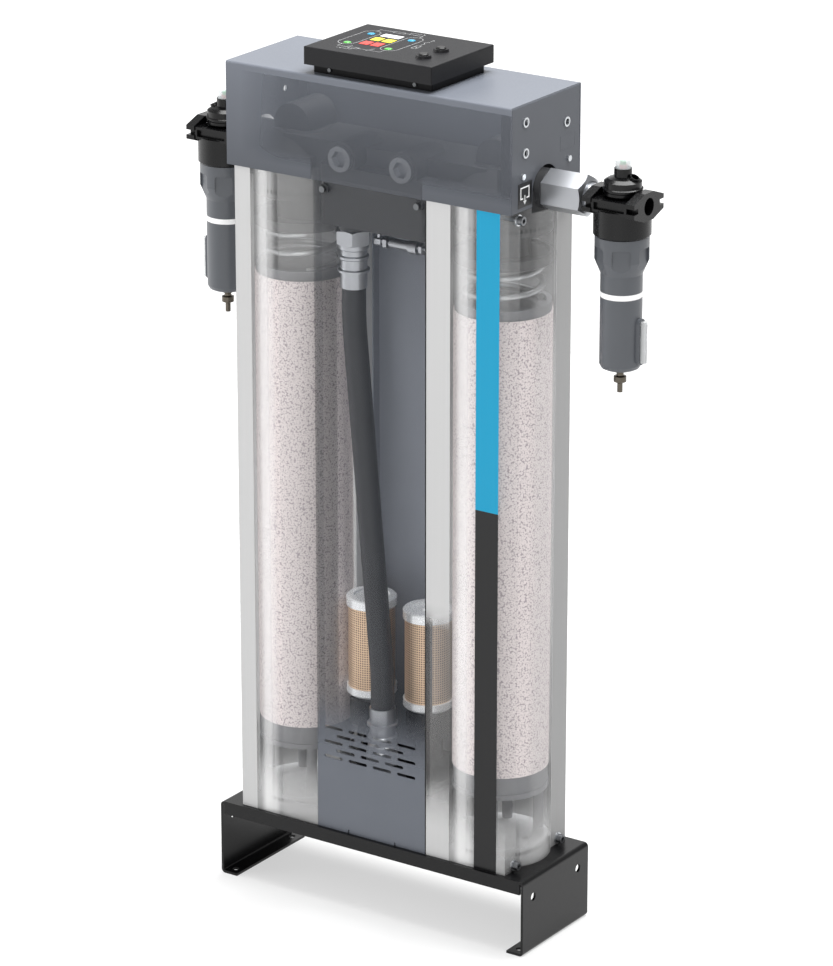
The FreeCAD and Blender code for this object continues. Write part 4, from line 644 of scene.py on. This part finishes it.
class DRYER_OT_housing(bpy.types.Operator):
    """Finishes the housing's hood and end plates"""

    bl_idname = "dryer.housing"
    bl_label = "Housing"

    def execute(self, context):
        paints = settings("paints")
        # Powder coated steel sheet: slate with a satin skin, in a darker copy as painted shade on the end
        # plates
        ends = powder_coated_steel("Slate Powder Coated Ends", paints.slate_ends_shaded)[0]
        finish(ends, "end_plate_left", "end_plate_right")
        # The same sheet, with the front of the hood drawn faintly see-through and painted darker towards its
        # lower edge
        hood, tree, shader, place = powder_coated_steel("Slate Powder Coated Hood", paints.slate)
        parts = add(tree, "SeparateXYZ", {"Vector": place})
        low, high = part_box("housing_hood")
        front = add(tree, "Math", {0: parts.outputs["Y"], 1: low.y + HOOD_FRONT}, operation="LESS_THAN")
        clear = self.clear_part(tree, parts, front.outputs[0], low, high)
        hide = add(tree, "MapRange", {"Value": clear, "To Min": 1.0, "To Max": paints.hood_cover})
        tree.links.new(hide.outputs["Result"], shader.inputs["Alpha"])
        # Painted shade: the see-through front darkens towards its lower edge
        heights = {"Value": parts.outputs["Z"], "From Min": low.z, "From Max": high.z}
        painted_shade = add(tree, "MapRange", {**heights, "To Min": HOOD_PAINTED_SHADE[0], "To Max": HOOD_PAINTED_SHADE[1]})
        tones = {0: front.outputs[0], 2: 1.0, 3: painted_shade.outputs["Result"]}
        tone = add(tree, "Mix", tones, data_type="FLOAT").outputs[0]
        coat = shader.inputs["Base Color"].links[0].from_socket
        toned = add(tree, "VectorMath", {0: coat, "Scale": tone}, operation="SCALE")
        tree.links.new(toned.outputs["Vector"], shader.inputs["Base Color"])
        finish(hood, "housing_hood")
        cast_no_shadow("housing_hood")
        return {"FINISHED"}

    def clear_part(self, tree, parts, front, low, high):
        """Where the hood's front is see-through: not in its bend, at its left end or over the tower tops"""
        below = add(tree, "Math", {0: parts.outputs["Z"], 1: high.z - HOOD_BEND}, operation="LESS_THAN")
        starts = [low.x + length for length in HOOD_LEFT]
        left = {"Value": parts.outputs["X"], "From Min": starts[0], "From Max": starts[1]}
        outward = add(tree, "Math", {0: parts.outputs["X"]}, operation="ABSOLUTE")
        between = add(tree, "Math", {0: outward.outputs[0], 1: TOPS_X}, operation="LESS_THAN")
        tops = [low.z + length for length in TOPS_CLEAR]
        above = add(tree, "MapRange", {"Value": parts.outputs["Z"], "From Min": tops[0], "From Max": tops[1]})
        over = add(tree, "Math", {0: between.outputs[0], 1: above.outputs["Result"]}, operation="MAXIMUM")
        clear = front
        for mask in (below.outputs[0], over.outputs[0], add(tree, "MapRange", left).outputs["Result"]):
            clear = add(tree, "Math", {0: clear, 1: mask}, operation="MULTIPLY").outputs[0]
        return clear


def shaded_inside(tree, place, base):
    """A plated colour that turns dark where the piece stands inside the housing, as painted shade in the
    closed housing.
    """
    parts = add(tree, "SeparateXYZ", {"Vector": place})
    outward = add(tree, "Math", {0: parts.outputs["X"]}, operation="ABSOLUTE")
    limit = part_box("end_plate_right")[1].x - SHEET_SKIN
    inner = add(tree, "Math", {0: outward.outputs[0], 1: limit}, operation="LESS_THAN").outputs[0]
    return add(tree, "Mix", {0: inner, 6: base, 7: settings("metals").inside_shade}, data_type="RGBA").outputs[2]


# Grain of plated screws and of turned nickel fittings
ZINC_GRAIN = {"ripple": 0.6, "height": 0.002, "shade": 0.04, "spread": 0.05}
NICKEL_GRAIN = {"ripple": 1.0, "height": 0.0005, "shade": 0.02, "spread": 0.04}


class DRYER_OT_fasteners(bpy.types.Operator):
    """Finishes every screw, bolt and washer"""

    bl_idname = "dryer.fasteners"
    bl_label = "Fasteners"

    def execute(self, context):
        metals = settings("metals")
        # Zinc plated steel: bright, faintly mottled
        zinc = plain_finish("Zinc Plated Steel", metals.zinc, **ZINC_GRAIN, roughness=0.28, metallic=1.0)
        finish(zinc, "column_washers", "base_bolts")
        # The same plate in the end plates, with painted shade on the inside
        ends, tree, shader, place = start_material("Oiled Zinc Plated Steel", roughness=0.3, metallic=1.0)
        grain(tree, shader, place, shaded_inside(tree, place, metals.zinc), **ZINC_GRAIN)
        finish(ends, "end_plate_screws", "end_plate_eyelets")
        # The same plate on the side bolts, a tone darker as painted shade for the upper bolts under the hood
        shaded_bolts = plain_finish(
            "Dull Zinc Plated Steel", metals.shaded_zinc, **ZINC_GRAIN, roughness=0.36, metallic=1.0
        )
        finish(shaded_bolts, "column_bolts")
        # Black oxide on socket screws: dark with an oily sheen
        oxide = plain_finish(
            "Black Oxide Steel", metals.oxide, ripple=0.6, height=0.002, shade=0.06, spread=0.06,
            roughness=0.35, metallic=1.0,
        )
        finish(oxide, "cover_screws", "controller_screws")
        return {"FINISHED"}


class DRYER_OT_fittings(bpy.types.Operator):
    """Finishes the port adaptors, hose fittings and hose"""

    bl_idname = "dryer.fittings"
    bl_label = "Fittings And Hose"

    def execute(self, context):
        metals, plastics = settings("metals"), settings("plastics")
        # Nickel plated brass, turned: bright flats with a fine brushed haze
        nickel = plain_finish(
            "Nickel Plated Brass", metals.nickel, **NICKEL_GRAIN, roughness=0.32, metallic=1.0
        )
        finish(nickel, "hose_nuts", "hose_ferrules", "hose_elbow")
        # The same plate on the ports, with painted shade on the inside
        ports, tree, shader, place = start_material("Nickel Plated Port Brass", roughness=0.32, metallic=1.0)
        grain(tree, shader, place, shaded_inside(tree, place, metals.nickel), **NICKEL_GRAIN)
        finish(ports, "adaptor_left", "adaptor_right")
        # Cloth-wrapped rubber hose: charcoal, with the wrap's weave about 1.2 mm apart
        hose = plain_finish(
            "Wrapped Rubber Hose", plastics.hose, ripple=1.2, height=0.001, shade=0.02, spread=0.01,
            roughness=0.55,
        )
        finish(hose, "hose")
        return {"FINISHED"}


class DRYER_OT_exhausts(bpy.types.Operator):
    """Finishes the exhaust valves and their woven silencers"""

    bl_idname = "dryer.exhausts"
    bl_label = "Exhaust Valves And Silencers"

    def execute(self, context):
        metals, plastics = settings("metals"), settings("plastics")
        # Moulded glossy nylon: black, with rounded bright edges
        nylon = plain_finish(
            "Moulded Black Nylon", plastics.black, ripple=1.5, height=0.02, shade=0.04, spread=0.05,
            roughness=0.2,
        )
        finish(nylon, "exhaust_valve_left", "exhaust_valve_right")
        # Pressed plated steel caps: pale and softly brushed
        caps = plain_finish(
            "Pressed Plated Steel", metals.caps, ripple=0.8, height=0.002, shade=0.03, spread=0.06,
            roughness=0.25, metallic=0.5,
        )
        finish(caps, "silencer_caps_left", "silencer_caps_right")
        for node in ("silencer_mesh_left", "silencer_mesh_right"):
            finish(self.woven_bronze(node, metals.bronze, plastics.weave), node)
        return {"FINISHED"}

    def woven_bronze(self, node, bronze, spacing):
        """One silencer mesh's material"""
        # Plain-woven bronze wire: a fine square mesh, bright on the wires and dark between them
        low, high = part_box(node)
        middle = (low + high) / 2
        radius = (high.x - low.x) / 2
        name = "Woven Bronze Wire " + node[-5:].strip("_")
        material, tree, shader, place = start_material(name, roughness=0.38, metallic=0.8)
        parts = add(tree, "SeparateXYZ", {"Vector": place})
        east = add(tree, "Math", {0: parts.outputs["X"], 1: middle.x}, operation="SUBTRACT")
        north = add(tree, "Math", {0: parts.outputs["Y"], 1: middle.y}, operation="SUBTRACT")
        turn = add(tree, "Math", {0: north.outputs[0], 1: east.outputs[0]}, operation="ARCTAN2")
        # Real mesh is near 0.5 mm; the spacing is drawn as coarse as it has to be to show
        around = float(round(2 * math.pi * radius / spacing))
        warp = add(tree, "Math", {0: turn.outputs[0], 1: around}, operation="MULTIPLY")
        weft = add(tree, "Math", {0: parts.outputs["Z"], 1: 2 * math.pi / spacing}, operation="MULTIPLY")
        ups = [add(tree, "Math", {0: wave.outputs[0]}, operation="SINE").outputs[0] for wave in (warp, weft)]
        crest = add(tree, "Math", {0: ups[0], 1: ups[1]}, operation="MAXIMUM").outputs[0]
        tones = {"Value": crest, "From Min": -0.6, "From Max": 1.0, "To Min": 0.22, "To Max": 1.1}
        shade = add(tree, "MapRange", tones).outputs["Result"]
        tinted = add(tree, "VectorMath", {0: bronze, "Scale": shade}, operation="SCALE")
        bump = add(tree, "Bump", {"Height": crest, "Distance": 0.3 * MM, "Strength": 0.8})
        tree.links.new(tinted.outputs["Vector"], shader.inputs["Base Color"])
        tree.links.new(bump.outputs["Normal"], shader.inputs["Normal"])
        return material


class DRYER_OT_filters(bpy.types.Operator):
    """Finishes the filter heads, bowls, sight glasses and drains"""

    bl_idname = "dryer.filters"
    bl_label = "Filters"

    def execute(self, context):
        metals, plastics = settings("metals"), settings("plastics")
        # Die cast aluminium under gloss enamel: black, with sharp highlights on its rounded edges
        enamel = plain_finish(
            "Gloss Black Enamel", plastics.black, ripple=1.5, height=0.015, shade=0.03, spread=0.04,
            roughness=0.25, specular_ior_level=0.3,
        )
        finish(enamel, "filter_head_left", "filter_head_right", "gauge_body_left", "gauge_body_right")
        # Die cast aluminium under grey enamel, with one plain printed band
        bowl, tree, shader, place = start_material("Grey Enamel", roughness=0.35)
        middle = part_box("filter_bowl_right")[0].z + plastics.band_height
        height = add(tree, "SeparateXYZ", {"Vector": place}).outputs["Z"]
        band = add(tree, "Math", {0: height, 1: middle, 2: plastics.band_half}, operation="COMPARE")
        colours = {0: band.outputs[0], 6: plastics.bowl, 7: plastics.band}
        skin = add(tree, "Mix", colours, data_type="RGBA").outputs[2]
        grain(tree, shader, place, skin, ripple=1.5, height=0.02, shade=0.03, spread=0.05)
        finish(bowl, "filter_bowl_left", "filter_bowl_right")
        # Moulded polycarbonate: clear, with a white gleam on its rounded front
        glass = plain_finish(
            "Moulded Polycarbonate", plastics.glass, ripple=4, height=0.01, shade=0.02, spread=0.03,
            roughness=0.08, ior=1.58, transmission_weight=0.55,
        )
        finish(glass, "sight_glasses")
        # Turned brass drains, oxidised: dark metal with tool marks
        brass = plain_finish(
            "Turned Brass", metals.drain, ripple=0.6, height=0.004, shade=0.05, spread=0.08,
            roughness=0.3, metallic=1.0,
        )
        finish(brass, "drain_valves")
        return {"FINISHED"}


class DRYER_OT_gauges(bpy.types.Operator):
    """Finishes the clear caps and plungers of the pressure drop gauges"""

    bl_idname = "dryer.gauges"
    bl_label = "Gauges"

    def execute(self, context):
        plastics = settings("plastics")
        # Moulded acrylic: water clear with a bright rim
        clear = plain_finish(
            "Moulded Acrylic", plastics.clear, ripple=4, height=0.01, shade=0.02, spread=0.02,
            roughness=0.05, ior=1.49, alpha=0.35,
        )
        finish(clear, "gauge_cap_left", "gauge_cap_right")
        # Moulded acetal in two colours, waxy: green above red
        acetal, tree, shader, place = start_material("Moulded Acetal", roughness=0.35)
        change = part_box("gauge_piston_right")[1].z - plastics.green_height
        height = add(tree, "SeparateXYZ", {"Vector": place}).outputs["Z"]
        upper = add(tree, "Math", {0: height, 1: change}, operation="GREATER_THAN").outputs[0]
        skin = add(tree, "Mix", {0: upper, 6: plastics.red, 7: plastics.green}, data_type="RGBA").outputs[2]
        grain(tree, shader, place, skin, ripple=1.5, height=0.01, shade=0.03, spread=0.03)
        finish(acetal, "gauge_piston_left", "gauge_piston_right")
        return {"FINISHED"}


class DRYER_OT_controller(bpy.types.Operator):
    """Finishes the controller's lid, tray and keys"""

    bl_idname = "dryer.controller"
    bl_label = "Controller"

    def execute(self, context):
        plastics = settings("plastics")
        # Moulded ABS with a spark-eroded texture: black, matt, lit grey on top by its fine tooth
        abs_lid = plain_finish(
            "Textured Black ABS", plastics.lid, ripple=0.9, height=0.03, shade=0.04, spread=0.06,
            roughness=0.5, specular_ior_level=0.25,
        )
        finish(abs_lid, "controller_lid")
        # Powder coated steel tray: black and satin
        tray = powder_coated_steel("Black Powder Coated Tray", settings("paints").tray, 0.45, 0.15)[0]
        finish(tray, "controller_tray")
        # Moulded silicone rubber: soft black
        silicone = plain_finish(
            "Moulded Silicone Rubber", plastics.keys, ripple=1.0, height=0.02, shade=0.03, spread=0.04,
            roughness=0.45,
        )
        finish(silicone, "button_front", "button_back")
        return {"FINISHED"}


# Display windows on the lid, in millimetres: left, right, front and back edge
WINDOWS = {
    "hour_window": ("White", "lens", [(-40, -15, 16, 28)]),
    "yellow_windows": ("Yellow", "yellow", [(-40, -28.5, -3.5, 10), (-25, -13, -3.5, 10)]),
    "red_windows": ("Red", "red", [(-40.5, -29, -24.5, -10), (-26, -14.5, -24.5, -10)]),
}
# Middles of the lamps on the lid, in millimetres
LAMPS = {"blue": ((-54, 20), (0, 19)), "green": ((-54, -26), (0, -26))}
# Rings of a lamp's domed lens, as shares of its radius and heights in millimetres, and points in a ring
LENS_RINGS = ((1.0, 0.0), (0.96, 0.4), (0.7, 0.75), (0.3, 0.95))
LENS_STEPS = 24


class DRYER_OT_controller_print(bpy.types.Operator):
    """Adds the display windows, lamps and flow diagram on the controller's lid"""

    bl_idname = "dryer.controller_print"
    bl_label = "Controller Print"

    def execute(self, context):
        panel = settings("panel")
        self.windows(panel)
        self.lamps(panel)
        self.diagram(panel)
        return {"FINISHED"}

    def windows(self, panel):
        for name, (tint, setting, boxes) in WINDOWS.items():
            bm = bmesh.new()
            for x0, x1, y0, y1 in boxes:
                turns = ((x0, y0), (x1, y0), (x1, y1), (x0, y1))
                corners = [(x * MM, y * MM, panel.lid_top) for x, y in turns]
                tile(bm, corners, Vector((0, 0, panel.window_height)))
            bmesh.ops.bevel(bm, geom=bm.edges[:], offset=0.1 * MM, segments=1, affect="EDGES")
            # Back-printed polyester window: clear gloss over a strong even colour with a faint dot screen
            window = plain_finish(
                "Polyester Window " + tint, getattr(panel, setting), ripple=0.7, height=0.005, shade=0.04,
                spread=0.03, roughness=0.35, specular_ior_level=0.3,
            )
            mesh_piece(name, bm, window)

    def lamps(self, panel):
        for tint, places in LAMPS.items():
            bm = bmesh.new()
            for x, y in places:
                self.lens(bm, Vector((x * MM, y * MM, panel.lid_top)), panel.lamp_diameter / 2)
            for face in bm.faces:
                face.smooth = True
            # Tinted acrylic lens: deep colour with a small bright spot
            acrylic = plain_finish(
                "Tinted Acrylic " + tint.title(), getattr(panel, tint), ripple=1.5, height=0.02, shade=0.1,
                spread=0.03, roughness=0.1, ior=1.49,
            )
            mesh_piece(tint + "_lamps", bm, acrylic)

    def lens(self, bm, at, radius):
        """One domed lens"""
        rings = []
        for share, rise in LENS_RINGS:
            ring = []
            for step in range(LENS_STEPS):
                angle = 2 * math.pi * step / LENS_STEPS
                out = share * radius
                spot = Vector((out * math.cos(angle), out * math.sin(angle), rise * MM))
                ring.append(bm.verts.new(at + spot))
            rings.append(ring)
        for lower, upper in zip(rings, rings[1:]):
            for step in range(LENS_STEPS):
                after = (step + 1) % LENS_STEPS
                bm.faces.new((lower[step], lower[after], upper[after], upper[step]))
        bm.faces.new(rings[-1])

    def diagram(self, panel):
        """The flow diagram's lines and arrows, drawn in millimetres on the lid"""
        bm = bmesh.new()

        def line(points, closed=False):
            route = [(x * MM, y * MM) for x, y in points]
            ribbon(bm, route, panel.line_width, panel.lid_top, panel.ink_height, closed)

        def arrow(tip, angle, size=3.0):
            x, y = tip
            corners = []
            for turn, reach in ((0, 0), (2.6, size), (-2.6, size)):
                ahead = (x + reach * math.cos(angle + turn), y + reach * math.sin(angle + turn))
                corners.append((ahead[0] * MM, ahead[1] * MM, panel.lid_top))
            tile(bm, corners, Vector((0, 0, panel.ink_height)))

        # The two towers
        line(obround(-66, -45, -34, 33), closed=True)
        line(obround(-10, 11, -34, 33), closed=True)
        # The pipes and the valve behind them, with the outlet
        line([(-55.5, 33.5), (-55.5, 41), (-38, 41)])
        line([(-24, 41), (0.5, 41), (0.5, 33.5)])
        line([(-38, 38.5), (-38, 43.5), (-24, 43.5), (-24, 38.5)], closed=True)
        line([(-18, 41.5), (-18, 47), (-4, 47)])
        arrow((0, 47), 0)
        # The pipes and the valve before them, with the inlet
        line([(-55.5, -34.5), (-55.5, -43), (-40, -43)])
        line([(-28, -43), (0.5, -43), (0.5, -34.5)])
        line([(-40, -45.5), (-40, -40.5), (-28, -40.5), (-28, -45.5)], closed=True)
        line([(-34, -46), (-34, -50), (-52, -50)])
        arrow((-49, -50), math.pi)
        line([(-45, -46), (-41, -34)])
        line([(-16, -46), (-12, -34)])
        # The sign beside the keys
        line([(18, -9), (18, 3), (24, 3), (24, -9)], closed=True)
        arrow((21, -1), math.pi / 2)
        line([(21, 5), (21, 14), (17, 18), (21, 22), (21, 29)])
        arrow((21, 33), math.pi / 2)
        # Screen-printed ink: flat white, slightly raised
        ink = plain_finish(
            "Screen Printed Ink", panel.ink, ripple=0.8, height=0.01, shade=0.06, spread=0.05,
            roughness=0.5,
        )
        mesh_piece("flow_diagram", bm, ink)


# Outlet label on the end plate, in millimetres: front, back, lower and upper edge
OUTLET_LABEL = (-55, -28, 868, 895)
# Its sign: the strips of a box that is open below, the arrow's shaft, and the arrow's head as Y and Z
OUTLET_STRIPS = (
    (-50.5, -49, 877, 890.5),
    (-34.5, -33, 877, 890.5),
    (-49, -34.5, 889, 890.5),
    (-49, -45, 877, 878.5),
    (-38.5, -34.5, 877, 878.5),
    (-42.4, -41.1, 872.5, 881),
)
OUTLET_TIP = ((-45, 875), (-41.75, 870.5), (-38.5, 875))
# The blank frame's outer edges and line width
FRAME_EDGES = (28.5, 58.5, 913, 930)
FRAME_LINE = 0.8
# How far the film, the ink on it and the frame's marking stand off
FILM_HEIGHT = 0.25 * MM
SIGN_HEIGHT = 0.1 * MM
MARK_HEIGHT = 0.08 * MM
# Grain of the ink and of the marking
PRINT_GRAIN = {"ripple": 0.8, "height": 0.005, "shade": 0.05, "spread": 0.05}


class DRYER_OT_end_labels(bpy.types.Operator):
    """Adds the outlet label and the blank label frame on the right end plate"""

    bl_idname = "dryer.end_labels"
    bl_label = "End Plate Labels"

    def execute(self, context):
        panel = settings("panel")
        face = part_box("end_plate_right")[1].x
        # Polyester label: satin black film
        film = plain_finish(
            "Polyester Label Film", panel.film, ripple=1.0, height=0.005, shade=0.03, spread=0.04,
            roughness=0.3,
        )
        bm = bmesh.new()
        self.plate(bm, face, OUTLET_LABEL, FILM_HEIGHT)
        mesh_piece("outlet_label", bm, film)
        # Screen-printed ink on the label: flat white
        ink = plain_finish("Label Ink", panel.label_ink, **PRINT_GRAIN, roughness=0.5)
        bm = bmesh.new()
        on = face + FILM_HEIGHT
        for strip in OUTLET_STRIPS:
            self.plate(bm, on, strip, SIGN_HEIGHT)
        tile(bm, [(on, y * MM, z * MM) for y, z in OUTLET_TIP], Vector((SIGN_HEIGHT, 0, 0)))
        mesh_piece("outlet_sign", bm, ink)
        # Laser marking on the coat: a thin pale outline
        mark = plain_finish("Laser Marked Coat", panel.mark, **PRINT_GRAIN, roughness=0.5)
        bm = bmesh.new()
        y0, y1, z0, z1 = FRAME_EDGES
        for strip in (
            (y0, y1, z0, z0 + FRAME_LINE),
            (y0, y1, z1 - FRAME_LINE, z1),
            (y0, y0 + FRAME_LINE, z0 + FRAME_LINE, z1 - FRAME_LINE),
            (y1 - FRAME_LINE, y1, z0 + FRAME_LINE, z1 - FRAME_LINE),
        ):
            self.plate(bm, face, strip, MARK_HEIGHT)
        mesh_piece("rating_frame", bm, mark)
        return {"FINISHED"}

    def plate(self, bm, x, edges, height):
        """A flat strip on an upright face, from its edges in millimetres"""
        y0, y1, z0, z1 = (value * MM for value in edges)
        tile(bm, [(x, y0, z0), (x, y1, z0), (x, y1, z1), (x, y0, z1)], Vector((height, 0, 0)))


# Half the floor's side, in metres
FLOOR_HALF = 30
# Soft boxes: place and aim in metres, side in metres, and power in watts
SOFT_BOXES = {
    "top_box": ((0.3, 0.6, 3.6), (0, 0, 0.6), 2.6, 240),
    "left_box": ((-3.3, -1.3, 1.6), (0, 0, 0.5), 2.4, 80),
    "front_box": ((1.3, -3.7, 1.9), (0, 0, 0.5), 2.0, 45),
    "back_box": ((-2.2, 3.6, 2.2), (0, 0, 0.7), 2.4, 14),
}


class DRYER_OT_stage(bpy.types.Operator):
    """Sets the floor, the soft studio lamps and the camera"""

    bl_idname = "dryer.stage"
    bl_label = "Stage"

    def execute(self, context):
        stage, scene = settings("stage"), context.scene
        scene.view_settings.view_transform = "Standard"
        self.floor(scene, stage)
        world = bpy.data.worlds.new("studio")
        world.use_nodes = True
        sky = world.node_tree.nodes["Background"]
        sky.inputs["Color"].default_value = (1, 1, 1, 1)
        sky.inputs["Strength"].default_value = stage.sky
        scene.world = world
        self.camera(scene, stage)
        for name, (place, aim, side, watts) in SOFT_BOXES.items():
            self.soft_box(scene, name, place, aim, side, watts)
        return {"FINISHED"}

    def floor(self, scene, stage):
        bm = bmesh.new()
        bmesh.ops.create_grid(bm, x_segments=1, y_segments=1, size=FLOOR_HALF)
        mesh = bpy.data.meshes.new("studio_floor")
        bm.to_mesh(mesh)
        bm.free()
        floor = bpy.data.objects.new("studio_floor", mesh)
        scene.collection.objects.link(floor)
        # Matt studio paper, with a very faint fibre
        paper, tree, shader, place = start_material("Matt Studio Paper", roughness=0.9)
        grain(tree, shader, place, stage.floor, ripple=2.0, height=0.01, shade=0.004, spread=0.03)
        # The paper is lit from behind, so it glows almost white and brightens away from the unit
        away = add(tree, "VectorMath", {0: place}, operation="LENGTH").outputs["Value"]
        reach = {"Value": away, "From Min": stage.glow_start, "From Max": stage.glow_end}
        glow = add(tree, "MapRange", {**reach, "To Min": stage.glow_near, "To Max": stage.glow_far})
        shader.inputs["Emission Color"].default_value = (1, 1, 1, 1)
        tree.links.new(glow.outputs["Result"], shader.inputs["Emission Strength"])
        mesh.materials.append(paper)

    def camera(self, scene, stage):
        a, e = stage.azimuth, stage.elevation
        back = Vector((math.sin(a) * math.cos(e), -math.cos(a) * math.cos(e), math.sin(e)))
        right = Vector((math.cos(a), math.sin(a), 0))
        up = back.cross(right)
        lens = bpy.data.cameras.new("photo_camera")
        lens.sensor_width = 36
        lens.lens = stage.lens
        lens.clip_end = 100
        camera = bpy.data.objects.new("photo_camera", lens)
        camera.location = back * stage.distance + right * stage.aim_right + up * stage.aim_up
        camera.rotation_euler = back.to_track_quat("Z", "Y").to_euler()
        scene.collection.objects.link(camera)
        scene.camera = camera

    def soft_box(self, scene, name, place, aim, side, watts):
        lamp = bpy.data.lights.new(name, "AREA")
        lamp.shape = "SQUARE"
        lamp.size = side
        lamp.energy = watts
        box = bpy.data.objects.new(name, lamp)
        box.location = place
        box.visible_camera = False
        box.rotation_euler = (Vector(place) - Vector(aim)).to_track_quat("Z", "Y").to_euler()
        scene.collection.objects.link(box)


OPERATORS = (
    DRYER_OT_base_frame,
    DRYER_OT_towers,
    DRYER_OT_beds,
    DRYER_OT_bed_holders,
    DRYER_OT_valve_blocks,
    DRYER_OT_covers,
    DRYER_OT_housing,
    DRYER_OT_fasteners,
    DRYER_OT_fittings,
    DRYER_OT_exhausts,
    DRYER_OT_filters,
    DRYER_OT_gauges,
    DRYER_OT_controller,
    DRYER_OT_controller_print,
    DRYER_OT_end_labels,
    DRYER_OT_stage,
)
GROUPS = {
    "paints": DryerPaints,
    "metals": DryerMetals,
    "plastics": DryerPlastics,
    "panel": DryerPanel,
    "stage": DryerStage,
}


class DRYER_PT_sidebar(bpy.types.Panel):
    """Lists the dryer's pieces in the 3D view's sidebar"""

    bl_label = "Dryer"
    bl_idname = "DRYER_PT_sidebar"
    bl_space_type = "VIEW_3D"
    bl_region_type = "UI"
    bl_category = "Dryer"

    def draw(self, context):
        for operator in OPERATORS:
            self.layout.operator(operator.bl_idname)
        for name, group in GROUPS.items():
            box = self.layout.box()
            for setting in group.__annotations__:
                box.prop(settings(name), setting)


def register():
    for kind in (*GROUPS.values(), *OPERATORS, DRYER_PT_sidebar):
        bpy.utils.register_class(kind)
    for name, group in GROUPS.items():
        setattr(bpy.types.Scene, "dryer_" + name, PointerProperty(type=group))


def unregister():
    for name in GROUPS:
        delattr(bpy.types.Scene, "dryer_" + name)
    for kind in reversed((*GROUPS.values(), *OPERATORS, DRYER_PT_sidebar)):
        bpy.utils.unregister_class(kind)


def main():
    register()
    for operator in OPERATORS:
        family, piece = operator.bl_idname.split(".")
        getattr(getattr(bpy.ops, family), piece)()


if __name__ == "__main__":
    main()
